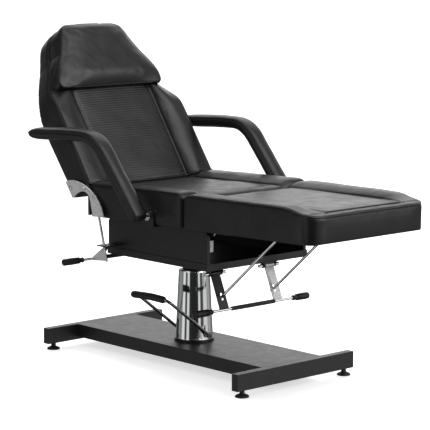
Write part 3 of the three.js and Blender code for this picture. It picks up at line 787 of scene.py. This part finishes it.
# ---------------------------------------------------------------- leg section
def make_leg():
    start, end = leg_low.x + 0.001, leg_high.x - 0.0015
    rise, corner, fade = 0.006, 0.060, 0.150
    rear_top = leg_high.z - rise
    straight = end - corner

    def wide(u):
        """Half width of the section, which narrows towards the foot."""
        return HALF - LEG_TAPER * (u - start) / (end - start)

    def half(u):
        return wide(u) - rounding(end - u, corner) - rounding(u - start, 0.008)

    def under(v, u):
        return leg_low.z + 0.0005 + (u - leg_low.x) * LEG_UNDER_RISE + rounding(end - u, 0.016)

    def edge(v, u):
        a, b = abs(v) - (wide(u) - corner), u - straight
        if a > 0 and b > 0:
            return corner - math.hypot(a, b)
        return min(wide(u) - abs(v), end - u)

    def face(v, u):
        top = rear_top + rise * (u - start) / (end - start)
        swell = 1 - smoothstep((u - (end - fade)) / (fade - 0.030))
        level = LEG_SINK * (bolster(v, wide(u)) * swell - 1) + 0.003 * crest(v, wide(u)) * swell
        roll = 0.006 * smoothstep((u - (end - 0.036)) / 0.030)
        return top + level - roll - rounding(u - start, 0.030) - rounding(edge(v, u), 0.008)

    cushion = Cushion(FLAT, start, end, half, face, under)
    loop = [Vector((HALF - 0.002, start, under(HALF, start) + 0.006))]
    for i in range(10):
        a = math.pi / 2 * i / 9
        loop.append(Vector((HALF, start + 0.028 - 0.028 * math.cos(a),
                            face(HALF, start + 0.032) - 0.022 + 0.028 * math.sin(a))))
    for i in range(1, 41):
        u = start + 0.032 + (straight - start - 0.032) * i / 40
        loop.append(Vector((wide(u), u, face(wide(u), u) + 0.006)))
    for i in range(1, 13):
        a = math.pi / 2 * i / 12
        u = straight + corner * math.sin(a)
        v = wide(u) - corner + corner * math.cos(a)
        loop.append(Vector((v, u, face(v, u) + 0.006)))
    mirrored = [Vector((-p.x, p.y, p.z)) for p in reversed(loop)]
    rim = resample(loop + mirrored, 0.006)
    panel_end = end - 0.033
    grooves = []
    for _, s in SIDES:
        line = [(s * PANEL, start + (panel_end - start) * i / 40) for i in range(41)]
        grooves.append(resample([Vector((v, u, face(v, u))) for v, u in line], 0.006))
    reach = wide(panel_end) - 0.030
    foot_line = [Vector((v, panel_end, face(v, panel_end)))
                 for v in np.linspace(-reach, reach, 60)]
    near = near_loop(rim + grooves[0] + grooves[1] + foot_line, 0.007)

    def held(spots):
        return near(spots) | (spots[:, 2] < np.array([under(0, u) + 0.004 for u in spots[:, 1]]))

    piece = cover("leg_cover", cushion, held, "leg", cap=0.005, seed=2.0)
    for line in [rim, foot_line] + grooves:
        press(piece, [FLAT @ p for p in line], 0.003, 0.006)
    settle(piece, "leg", "leather", "leg_cushion")
    surface = surface_of(piece)
    piping("leg_piping", [snapped([FLAT @ p for p in rim], surface, 0.0006)], PIPING, "leg",
           closed=False)
    ribbed_panel("leg_panel", cushion, surface, start + 0.034, panel_end, "leg", 0.0017)


# ---------------------------------------------------------------- backrest
BACK_OUTLINE = [(0.310, 0.0), (0.310, 0.290)]
BACK_OUTLINE += bezier([(0.310, 0.290), (0.308, 0.392), (0.215, 0.540)])
BACK_OUTLINE += [(0.170, 0.632)]
BACK_OUTLINE += bezier([(0.170, 0.632), (0.140, 0.694), (0.090, 0.6962)], 16)
BACK_REACH = side_line(BACK_OUTLINE)


def shoulder(u):
    """How far the backrest's front edge draws back towards the shoulders."""
    return 0.055 * smoothstep((u - 0.310) / 0.140)


def make_back():
    start, end = 0.002, BACK_HEIGHT - 0.002
    rear_round = 0.045

    def half(u):
        return BACK_REACH(u) - 0.002

    def face(v, u):
        h = half(u)
        shown = min(h, HALF)
        level = BACK_SINK * (bolster(v, HALF) - 1) + 0.003 * crest(v, HALF)
        gap = shown - abs(v)
        return level - shoulder(u) * smoothstep(1 - gap / 0.085) - rounding(gap * 0.9, 0.008) \
            - rounding(end - u, 0.020) - rounding(u - start, 0.010)

    def rear(v, u):
        gap = half(u) - abs(v)
        return -0.0012 - BACK_THICK - BACK_SPREAD * min(u, 0.640) + rounding(end - u, rear_round) \
            + rounding(gap, 0.006)

    cushion = Cushion(back_place, start, end, half, face, rear)
    rim = cushion.rim(0.0015, -0.005)
    grooves = [
        resample([Vector((s * PANEL, u, face(PANEL, u))) for u in np.linspace(start, 0.47, 50)], 0.006)
        for _, s in SIDES
    ]
    near = near_loop(rim + grooves[0] + grooves[1], 0.007)

    def held(spots):
        behind = np.array([rear(0, u) + 0.006 for u in spots[:, 1]])
        return near(spots) | (spots[:, 2] < behind)

    piece = cover("back_cover", cushion, held, "back", cap=0.006, seed=3.0)
    for line in [rim] + grooves:
        press(piece, [back_place @ p for p in line], 0.003, 0.006)
    settle(piece, "back", "leather", "back_cushion")
    surface = surface_of(piece)
    piping("back_piping", [snapped([back_place @ p for p in rim], surface, 0.0006)], PIPING, "back")
    ribbed_panel("back_panel", cushion, surface, 0.016, 0.430, "back", 0.0007)


# ---------------------------------------------------------------- headrest
def softmin(*values, sharpness=9.0):
    """The least of some values, with a soft changeover between them."""
    return -math.log(sum(math.exp(-sharpness * v) for v in values)) / sharpness


def make_headrest():
    start, end = 0.410, 0.684
    outline = [(0.240, start), (0.252, start + 0.008), (0.2555, start + 0.022), (0.2535, 0.453)]
    outline += bezier([(0.2535, 0.453), (0.236, 0.508), (0.203, 0.549)])
    outline += bezier([(0.203, 0.549), (0.186, 0.585), (0.170, 0.618)])
    outline += bezier([(0.170, 0.618), (0.154, 0.678), (0.108, end)], 16)
    half = side_line(outline)
    crown, edge, lip, facet = 0.027, 0.010, 0.004, 0.044
    walls = KDTree(200)
    for i, u in enumerate(np.linspace(start, 0.655, 200)):
        walls.insert(Vector((half(u), u, 0)), i)
    walls.balance()

    def lift(v):
        """How far the lower edge rises towards the sides."""
        return 0.016 * smoothstep((abs(v) - 0.10) / 0.15)

    def rear(v, u):
        gap = BACK_REACH(u) - abs(v)
        sink = BACK_SINK * (bolster(v, HALF) - 1) * 0.6
        return sink - 0.0005 - shoulder(u) * smoothstep(1 - gap / 0.085)

    def face(v, u):
        side = walls.find(Vector((abs(v), u, 0)))[2] if abs(v) < half(u) else 0.0
        low = max(u - start - lift(v), 0.0)
        rise = softmin(low / facet, 0.15 + (end - u) / 0.030, 1.0)
        body = edge + (crown - edge) * math.sin(math.pi / 2 * min(side / 0.110, 1)) \
            + 0.006 * (1 - (v / 0.24) ** 2)
        return lip + (body - lip) * max(rise, 0) - rounding(min(side, end - u), 0.007)

    cushion = Cushion(back_place, start, end, half, face, rear)
    rim = [Vector((p.x, p.y, rear(p.x, p.y) + 0.004)) for p in cushion.rim(0.0, 0.0)]
    near = near_loop(rim, 0.007)

    def held(spots):
        behind = np.array([rear(v, u) + 0.004 for v, u in spots[:, :2]])
        return near(spots) | (spots[:, 2] < behind)

    piece = cover("headrest_cover", cushion, held, "back", cap=0.003, side_cap=0.002, seed=4.0)
    press(piece, [back_place @ p for p in rim], 0.003, 0.005)
    settle(piece, "back", "leather", "headrest_cushion")
    surface = surface_of(piece)
    cords = [snapped([back_place @ (p + Vector((0, 0, d))) for p in rim], surface, 0.0006)
             for d in (0.0, 0.009)]
    piping("headrest_piping", cords, PIPING * 0.85, "back")


# ---------------------------------------------------------------- armrests
def make_armrest(name, side):
    centre = side * (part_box(f"armrest_pad_{name}")[0].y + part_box(f"armrest_pad_{name}")[1].y) / 2 * side
    path = rounded_path(
        [on_column(*spot, centre) for spot in (ARM_END, ARM_BEND, ARM_MID, ARM_TIP)],
        ARM_CORNER, 0.005,
    )
    count = len(path)
    reach = [0.0]
    for a, b in zip(path, path[1:]):
        reach.append(reach[-1] + (b - a).length)
    total = reach[-1]
    across = Vector((0, 1, 0))
    frames, verts, sides = [], [], 40
    for i, point in enumerate(path):
        run = (path[min(i + 1, count - 1)] - path[max(i - 1, 0)]).normalized()
        out = run.cross(across) if run.cross(across).z > 0 else -run.cross(across)
        from_tip = max((total - reach[i]) / 0.085, 0.0)
        from_end = max(reach[i] / 0.026, 0.0)
        bill = 1 - (1 - min(from_tip, 1)) ** 2.6
        heel = math.sqrt(1 - (1 - min(from_end, 1)) ** 2)
        plan = math.sqrt(1 - (1 - min(from_tip * 0.085 / 0.050, 1)) ** 2)
        thick = ARM_THICK * max(bill, 0.05) * (0.55 + 0.45 * heel)
        wide = ARM_WIDTH * max(plan, 0.12) * (0.72 + 0.28 * heel)
        frames.append((point, out, thick, wide))
        for j in range(sides):
            angle = 2 * math.pi * j / sides
            c, s = math.cos(angle), math.sin(angle)
            a = math.copysign(abs(c) ** 0.62, c) * wide
            b = math.copysign(abs(s) ** 0.70, s) * thick
            verts.append(point + across * a + out * b)
    builder = Builder()
    builder.add(verts, ring_faces(count, sides))
    piece = builder.build(f"armrest_cover_{name}", sharp=None)
    remesh(piece, 0.005)

    def seam(which, height):
        """A line along one long side of the pad, at a share of its thickness."""
        b = height
        a = (1 - abs(b) ** (2 / 0.70)) ** (0.62 / 2)
        return [p + across * which * a * w + out * b * t for p, out, t, w in frames]

    welt = seam(1, 0.30) + seam(-1, 0.30)[::-1]
    lower = [seam(s, -0.42) for s in (1, -1)]
    tree = near_loop(welt + lower[0] + lower[1], 0.006)
    inflate(piece, tree(coordinates(piece.data)), np.full(len(piece.data.vertices), 0.0025))
    refine(piece)
    pucker(piece, on_column(*ARM_BEND, centre))
    uneven(piece, 0.0007, 0.05, 7.0 + side)
    for line in [welt] + lower:
        press(piece, line, 0.0022, 0.0045)
    shade(piece)
    body = f"arm_{name}"
    settle(piece, body, "leather", f"armrest_pad_{name}")
    surface = surface_of(piece)
    cords = [snapped(resample(welt, 0.006, closed=True), surface, 0.0005)]
    piping(f"armrest_piping_{name}", cords, 0.0021, body)


def pucker(piece, bend):
    """Small creases across the inside of the armrest's bend."""
    values, outward = coordinates(piece.data), normals(piece.data)
    offset = values - np.array(bend + Vector((-0.012, 0, -0.045)))
    near = np.exp(-((np.linalg.norm(offset[:, [0, 2]], axis=1) / 0.045) ** 2))
    angle = np.arctan2(offset[:, 0], -offset[:, 2] + 0.08)
    inside = np.clip(-outward[:, 2] * 0.8 - outward[:, 0] * 0.4, 0, 1)
    depth = 0.0012 * near * inside * np.sin(angle * 55)
    move_vertices(piece.data, values + outward * depth[:, None])


# ---------------------------------------------------------------- metal and rubber
def bar_between(name, start, end, radius, body, slot, *nodes, chamfer=0.001):
    start, end = Vector(start), Vector(end)
    builder = Builder()
    builder.add(*lathe(bar(radius, (end - start).length, chamfer), 32), along(start, end))
    settle(builder.build(name), body, slot, *nodes)


def middle(node):
    low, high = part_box(node)
    return (low + high) / 2


def cross_bar(name, node, radius, body, slot):
    """A smooth round bar across the bed in place of a faceted one."""
    low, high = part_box(node)
    at = middle(node)
    bar_between(name, (at.x, low.y, at.z), (at.x, high.y, at.z), radius, body, slot, node)


def grip_profile(length):
    """Handlebar grip: a narrow collar, a swelling handle and a domed end, as (radius, height)."""
    points = [(0.0058, 0), (0.0085, 0.0), (0.0098, 0.0015), (0.0098, 0.004), (0.0088, 0.0055)]
    for i in range(1, 15):
        t = i / 15
        points.append((0.0088 + 0.0037 * smoothstep(t * 1.5), 0.0055 + (length - 0.0115) * t))
    for i in range(9):
        a = math.pi / 2 * i / 8
        points.append((0.0125 * math.cos(a) + 0.00001, length - 0.006 + 0.006 * math.sin(a)))
    return points


def make_grip(name, node, side, body):
    low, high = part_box(node)
    at = middle(node)
    root, tip = (low.y, high.y) if side > 0 else (high.y, low.y)
    profile = grip_profile(high.y - low.y)
    place = along((at.x, root, at.z), (at.x, tip, at.z))
    builder = Builder()
    builder.add(*lathe([(0.00001, 0)] + profile[1:], 32), place)
    for k in range(7):
        height = 0.020 + k * 0.0075
        ring = [(0.0112 + 0.0013 * smoothstep(height / 0.06), height - 0.0011),
                (0.0120 + 0.0013 * smoothstep(height / 0.06), height),
                (0.0112 + 0.0013 * smoothstep(height / 0.06), height + 0.0011),
                (0.0090, height)]
        builder.add(*hollow_lathe(ring, 32), place)
    settle(builder.build(name, sharp=50), body, "rubber", node)


def make_handles():
    for end in ("front", "rear"):
        body = f"{end}_handle"
        cross_bar(f"{end}_handle_rod", f"{end}_handle_bar", 0.005, body, "chrome")
        cross_bar(f"{end}_handle_tube", f"{end}_handle_sleeve", 0.0079, body, "rubber")
        for name, side in SIDES:
            make_grip(f"{end}_grip_{name}", f"{end}_handle_grip_{name}", side, body)


def make_rods():
    for name, side in SIDES:
        low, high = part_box(f"leg_rod_{name}")
        y = (low.y + high.y) / 2
        top = Vector((high.x - 0.008, y, high.z - 0.008))
        foot = Vector((low.x + 0.0052, y, low.z + 0.0052))
        run = (foot - top).normalized()
        builder = Builder()
        builder.add(*lathe(bar(0.005, (foot - top).length), 32), along(top, foot))
        builder.add(*lathe(bar(0.0075, 0.009), 6), along(foot - run * 0.010, foot))
        builder.add(*lathe(bar(0.008, 0.015), 32),
                    along(top - Vector((0, 0.0075, 0)), top + Vector((0, 0.0075, 0))))
        settle(builder.build(f"leg_strut_{name}"), f"leg_rod_{name}", "chrome", f"leg_rod_{name}")

        low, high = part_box(f"back_rod_{name}")
        y = (low.y + high.y) / 2
        top = Vector((low.x + 0.009, y, high.z - 0.009))
        foot = Vector((high.x - 0.004, y, low.z + 0.001))
        builder = Builder()
        builder.add(*lathe(bar(0.0046, (foot - top).length), 32), along(top, foot))
        builder.add(*lathe(bar(0.009, 0.009), 32),
                    along(top - Vector((0, 0.0045, 0)), top + Vector((0, 0.0045, 0))))
        settle(builder.build(f"back_strut_{name}"), f"back_rod_{name}", "chrome", f"back_rod_{name}")


def make_feet():
    profile = [
        (0.00001, 0), (0.0236, 0), (0.0246, 0.0008), (0.0250, 0.0032), (0.0246, 0.0044),
        (0.0225, 0.0066), (0.0180, 0.0088), (0.0125, 0.0106), (0.0098, 0.0130), (0.0088, 0.0160),
        (0.0088, 0.0208), (0.0052, 0.0212), (0.0050, 0.0550), (0.00001, 0.0550),
    ]
    for end in ("front", "rear"):
        for name, _ in SIDES:
            node = f"levelling_foot_{end}_{name}"
            at = middle(node)
            place = Matrix.Translation((at.x, at.y, 0))
            builder = Builder()
            builder.add(*lathe(profile, 40), place)
            builder.add(*hollow_lathe(
                [(0.0049, 0.0212), (0.0090, 0.0214), (0.0094, 0.0220), (0.0094, 0.0240),
                 (0.0090, 0.0247), (0.0049, 0.0249)], 6), place)
            settle(builder.build(f"foot_{end}_{name}", sharp=35), f"foot_{end}_{name}", "rubber", node)


def make_pump():
    low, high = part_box("pump_cover")
    wall, height = 0.0015, high.z - low.z
    profile = [(0.0700, 0), (0.0702, 0.0012), (0.0698, 0.0030)]
    for i in range(1, 24):
        t = i / 24
        profile.append((0.0698 - 0.0118 * t, 0.0030 + (height - 0.0130) * t))
    profile += [
        (0.0580, height - 0.0100), (0.0579, height - 0.0060), (0.0570, height - 0.0022),
        (0.0550, height - 0.0004), (0.0530, height), (0.0352, height), (0.0344, height - 0.0006),
        (0.0342, height - 0.0016), (0.0520, height - 0.0018), (0.0560 - wall, height - 0.0080),
        (0.0700 - wall, 0.0005),
    ]
    at = middle("pump_cover")
    place = Matrix.Translation((at.x, at.y, low.z))
    builder = Builder()
    builder.add(*hollow_lathe(profile, 96), place)
    settle(builder.build("pump_shroud", sharp=30), "base", "chrome", "pump_cover")

    low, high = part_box("pump_piston")
    bar_between("piston_rod", (at.x, 0, low.z), (at.x, 0, high.z), 0.030, "piston", "chrome",
                "pump_piston", chamfer=0.0015)

    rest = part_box("pump_cover")[1].z
    builder = Builder()
    builder.add(*hollow_lathe(
        [(0.0304, 0), (0.0420, 0), (0.0432, 0.0010), (0.0432, 0.0064), (0.0418, 0.0080),
         (0.0330, 0.0084), (0.0304, 0.0076)], 64), Matrix.Translation((at.x, 0, rest + 0.0004)))
    settle(builder.build("piston_wiper_ring", sharp=30), "base", "rubber")


def make_pedal():
    low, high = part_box("pedal_frame")
    at = Vector(((low.x + high.x) / 2, 0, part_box("pedal_shaft")[0].z + 0.007))
    arm, reach, rise = PEDAL_ARM, PEDAL_REACH, PEDAL_RISE
    side = 1 if middle("pedal_frame").y > 0 else -1
    centre = middle("pedal_shaft").x

    def spot(x, y, z):
        return Vector((centre + x, side * y, z))

    bail = rounded_path([
        spot(-arm - 0.022, reach, rise), spot(0, reach + 0.008, rise + 0.006),
        spot(arm, reach, rise), spot(arm, 0, at.z),
    ], 0.026, 0.004)
    builder = Builder()
    builder.add(*tube(bail, 0.006, 20))
    builder.add(*lathe(bar(0.006, (spot(-arm, reach, rise) - spot(-arm, 0, at.z)).length), 20),
                along(spot(-arm, 0, at.z), spot(-arm, reach, rise)))
    for x in (-arm, arm):
        builder.add(*lathe(bar(0.011, 0.012), 40), along(spot(x - 0.006, 0, at.z), spot(x + 0.006, 0, at.z)))
        outer = math.copysign(0.0062, x)
        builder.add(*lathe(screw_head(0.0052, 0.0042), 6),
                    along(spot(x + outer, 0, at.z), spot(x + outer * 3, 0, at.z)))
    settle(builder.build("pedal_bail", sharp=35), "pedal", "coat", "pedal_frame")

    sleeve = rounded_path([
        spot(-arm - 0.034, reach, rise - 0.001), spot(0, reach + 0.008, rise + 0.006),
        spot(arm - 0.012, reach + 0.0014, rise + 0.001),
    ], 0.030, 0.004)
    count = len(sleeve)
    radii = []
    for i in range(count):
        end = min(i, count - 1 - i) / 4
        radii.append(0.013 * math.sqrt(1 - max(1 - end, 0) ** 2) ** 0.8 + 0.0004)
    builder = Builder()
    builder.add(*tube(sleeve, radii, 28))
    settle(builder.build("pedal_tread", sharp=50), "pedal", "rubber", "pedal_grip")


def make_fixings():
    """Screw heads, bolts and small brackets that hold the frame together."""
    pivot = on_column(-0.238, 0.657)
    stud = on_column(-0.318, 0.650)
    rod_top = on_column(-0.186, 0.628)
    for name, side in SIDES:
        outer = abs(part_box(f"arch_plate_{name}")[1 if side > 0 else 0].y)
        builder = Builder()
        for spot, radius, height in ((stud, 0.0065, 0.0042), (rod_top, 0.0045, 0.0032)):
            start = Vector((spot.x, side * outer, spot.z))
            builder.add(*lathe(screw_head(radius, height), 24),
                        along(start, start + Vector((0, side * 0.01, 0))))
        settle(builder.build(f"arch_screws_{name}"), "back", "chrome")

        start = Vector((pivot.x, side * (outer + 0.0018), pivot.z))
        builder = Builder()
        builder.add(*lathe(screw_head(0.0062, 0.0052), 6),
                    along(start, start + Vector((0, side * 0.01, 0))))
        settle(builder.build(f"back_pivot_nut_{name}"), "seat_frame", "zinc")

        panel_low, panel_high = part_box(f"side_panel_{name}")
        inner = min(abs(panel_low.y), abs(panel_high.y)) - 0.0004
        builder = Builder()
        panel_angle(builder, panel_high.x - 0.012, side, inner, panel_low.z + 0.061)
        settle(builder.build(f"panel_angle_{name}"), "seat_frame", "zinc")

    at = middle("pump_cover")
    builder = Builder()
    plate_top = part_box("mounting_plate")
    for x in (-1, 1):
        for y in (-1, 1):
            start = Vector((at.x + x * 0.082, y * 0.072, plate_top[0].z))
            builder.add(*lathe(screw_head(0.0068, 0.0048), 6),
                        along(start, start - Vector((0, 0, 0.01))))
    settle(builder.build("mounting_bolts"), "seat_frame", "zinc")


def panel_angle(builder, x, side, inner, low):
    """An upright pressed angle that stiffens the front end of a side panel, with its screws."""
    tall, leg, sheet = 0.040, 0.026, 0.0025
    section = [(0, 0), (0, leg), (-sheet, leg), (-sheet, sheet), (-leg, sheet), (-leg, 0)]
    verts, count = [], len(section)
    for end in (0, tall):
        verts += [Vector((x + a, side * (inner - b), low + end)) for a, b in section]
    faces = [[j, (j + 1) % count, count + (j + 1) % count, count + j] for j in range(count)]
    faces += [list(range(count))[::-1], [count + j for j in range(count)]]
    builder.add(verts, faces)
    for height in (0.014, tall - 0.014):
        start = Vector((x - leg * 0.6, side * (inner - sheet), low + height))
        builder.add(*lathe(screw_head(0.0036, 0.0026), 20),
                    along(start, start - Vector((0, side * 0.01, 0))))


def dark_chrome_material():
    """Dark plating of the pedal's rods."""
    shader = Shader("dark_chrome", (0.24, 0.24, 0.25), 0.16, 1.0)
    shader.tint(shader.noise(60, 4), (0.17, 0.17, 0.175), (0.32, 0.32, 0.33))
    shader.vary("Roughness", shader.noise(90, 3), 0.12, 0.24)
    return shader.material


MATERIALS["dark_chrome"] = dark_chrome_material()

# Pieces that look unlike the slot they have in the record. The near front lock plate takes black coat as
# painted shade, standing for the dark reflection of the base plate below it; the pedal's rods take a darker
# plating.
SLOT_OVERRIDES_AND_PAINTED_SHADE = {"front_lock_plate_right": "coat", "pedal_bail": "dark_chrome"}
FINE_EDGES = {"side_panel_left": 0.002, "side_panel_right": 0.002, "front_crossbar": 0.0015,
              "rear_crossbar": 0.0015, "base_plate": 0.0012}


def finish_frame():
    """Materials for the CAD nodes that stay in view, and a small bevel on their edges."""
    slots = {part["node"]: part["material_slot"] for part in frame["record"]["subparts"]}
    for name, node in frame["nodes"].items():
        if node.hide_render:
            continue
        node.data.materials.clear()
        # An override here can be painted shade: the near front lock plate's black coat stands for a dark
        # reflection.
        node.data.materials.append(MATERIALS[SLOT_OVERRIDES_AND_PAINTED_SHADE.get(name, slots[name])])
        for attribute in ("custom_normal", "sharp_face", "sharp_edge"):
            found = node.data.attributes.get(attribute)
            if found:
                node.data.attributes.remove(found)
        shade(node)
        weld = node.modifiers.new("weld", "WELD")
        weld.merge_threshold = 0.00002
        bevel = node.modifiers.new("edges", "BEVEL")
        bevel.width = FINE_EDGES.get(name, 0.0005)
        bevel.segments = 2
        bevel.limit_method = "ANGLE"
        bevel.angle_limit = math.radians(32)
        bevel.harden_normals = True
        bevel.use_clamp_overlap = True


# ---------------------------------------------------------------- studio
def node_math(tree, operation, a, b):
    node = tree.nodes.new("ShaderNodeMath")
    node.operation = operation
    for socket, value in zip(node.inputs, (a, b)):
        if isinstance(value, (int, float)):
            socket.default_value = value
        else:
            tree.links.new(value, socket)
    return node.outputs[0]


def value_ramp(tree, source, stops):
    """A colour ramp of greys over a source that runs from 0 to 1."""
    node = tree.nodes.new("ShaderNodeValToRGB")
    elements = node.color_ramp.elements
    while len(elements) < len(stops):
        elements.new(0.5)
    for element, (place, value) in zip(elements, stops):
        element.position = place
        element.color = (value, value, value, 1)
    tree.links.new(source, node.inputs["Fac"])
    return node.outputs["Color"]


def make_world():
    """White to the camera and an even soft light to diffuse surfaces. Glossy surfaces see a studio that is
    dark on the camera's side and bright behind the bed, with strips that give chrome its contrast."""
    world = bpy.data.worlds.new("studio")
    bpy.context.scene.world = world
    world.use_nodes = True
    tree = world.node_tree
    tree.nodes.clear()
    output = tree.nodes.new("ShaderNodeOutputWorld")
    place = tree.nodes.new("ShaderNodeTexCoord")
    split = tree.nodes.new("ShaderNodeSeparateXYZ")
    tree.links.new(place.outputs["Generated"], split.inputs[0])
    x, y, z = split.outputs

    def background(strength):
        node = tree.nodes.new("ShaderNodeBackground")
        if isinstance(strength, (int, float)):
            node.inputs["Strength"].default_value = strength
        else:
            tree.links.new(strength, node.inputs["Strength"])
        return node.outputs[0]

    def mixed(factor, first, second):
        node = tree.nodes.new("ShaderNodeMixShader")
        for socket, source in zip(node.inputs, (factor, first, second)):
            tree.links.new(source, socket)
        return node.outputs[0]

    azimuth = math.radians(CAMERA_AZIMUTH)
    toward = node_math(tree, "ADD", node_math(tree, "MULTIPLY", x, math.sin(azimuth)),
                       node_math(tree, "MULTIPLY", y, -math.cos(azimuth)))
    across = node_math(tree, "ADD", node_math(tree, "MULTIPLY", x, math.cos(azimuth)),
                       node_math(tree, "MULTIPLY", y, math.sin(azimuth)))
    bearing = node_math(tree, "ARCTAN2", across, toward)
    turn = node_math(tree, "ADD", node_math(tree, "DIVIDE", bearing, 2 * math.pi), 0.5)
    low, high = (
        background(node_math(tree, "MULTIPLY", value_ramp(tree, turn, [
            (0.5 + d / 360, v / STUDIO_TOP) for d, v in ring
        ]), STUDIO_TOP))
        for ring in (STUDIO_LOW, STUDIO_HIGH)
    )
    height = node_math(tree, "ADD", node_math(tree, "DIVIDE", z, 2), 0.5)
    above = value_ramp(tree, height, [(0.49, 0.0), (0.54, 1.0)])
    shiny = mixed(above, low, high)
    soft = background(value_ramp(tree, height, [(0.0, 0.30), (0.45, 0.42), (0.6, 0.75), (1.0, 0.9)]))
    ray = tree.nodes.new("ShaderNodeLightPath")
    lit = mixed(ray.outputs["Is Glossy Ray"], soft, shiny)
    seen = mixed(ray.outputs["Is Camera Ray"], lit, background(1.0))
    tree.links.new(seen, output.inputs["Surface"])


def make_floor():
    """A plain white floor, bright enough to keep only a trace of shadow."""
    size = 40.0
    mesh = bpy.data.meshes.new("floor")
    corners = [(-size, -size, 0), (size, -size, 0), (size, size, 0), (-size, size, 0)]
    mesh.from_pydata(corners, [], [(0, 1, 2, 3)])
    floor = bpy.data.objects.new("floor", mesh)
    bpy.context.scene.collection.objects.link(floor)
    shader = Shader("floor_paint", (0.9, 0.9, 0.9), 0.6)
    shader.vary("Roughness", shader.noise(2, 2), 0.55, 0.65)
    shader.set("Emission Color", (1, 1, 1, 1))
    shader.set("Emission Strength", 0.62)
    floor.data.materials.append(shader.material)
    floor.visible_glossy = floor.visible_diffuse = False


def area_light(name, place, target, size, power):
    data = bpy.data.lights.new(name, "AREA")
    data.shape = "RECTANGLE"
    data.size, data.size_y = size
    data.energy = power
    lamp = bpy.data.objects.new(name, data)
    lamp.location = place
    lamp.rotation_euler = (Vector(target) - Vector(place)).to_track_quat("-Z", "Y").to_euler()
    lamp.visible_camera = lamp.visible_glossy = False
    bpy.context.scene.collection.objects.link(lamp)


def make_lights():
    area_light("overhead", (-0.2, 0.4, 4.2), (0, 0, 0.6), (2.6, 2.6), 75)
    area_light("behind", (-2.4, 2.6, 3.0), (0, 0, 0.7), (2.2, 2.2), 60)


def make_camera():
    data = bpy.data.cameras.new("camera")
    data.lens = CAMERA_LENS
    data.sensor_width = 36
    camera = bpy.data.objects.new("camera", data)
    bpy.context.scene.collection.objects.link(camera)
    camera.location = on_column(CAMERA_PLACE[0], CAMERA_PLACE[2], CAMERA_PLACE[1])
    look = Vector(CAMERA_LOOK).to_track_quat("-Z", "Y").to_matrix()
    roll = Matrix.Rotation(math.radians(CAMERA_ROLL), 3, "Z")
    camera.rotation_euler = (look @ roll).to_euler()
    data.clip_start, data.clip_end = 0.1, 200
    bpy.context.scene.camera = camera


make_seat()
make_leg()
make_back()
make_headrest()
for name, side in SIDES:
    make_armrest(name, side)
make_handles()
make_rods()
make_feet()
make_pump()
make_pedal()
make_fixings()
finish_frame()
make_world()
make_floor()
make_lights()
make_camera()
bpy.context.scene.view_settings.view_transform = "Standard"
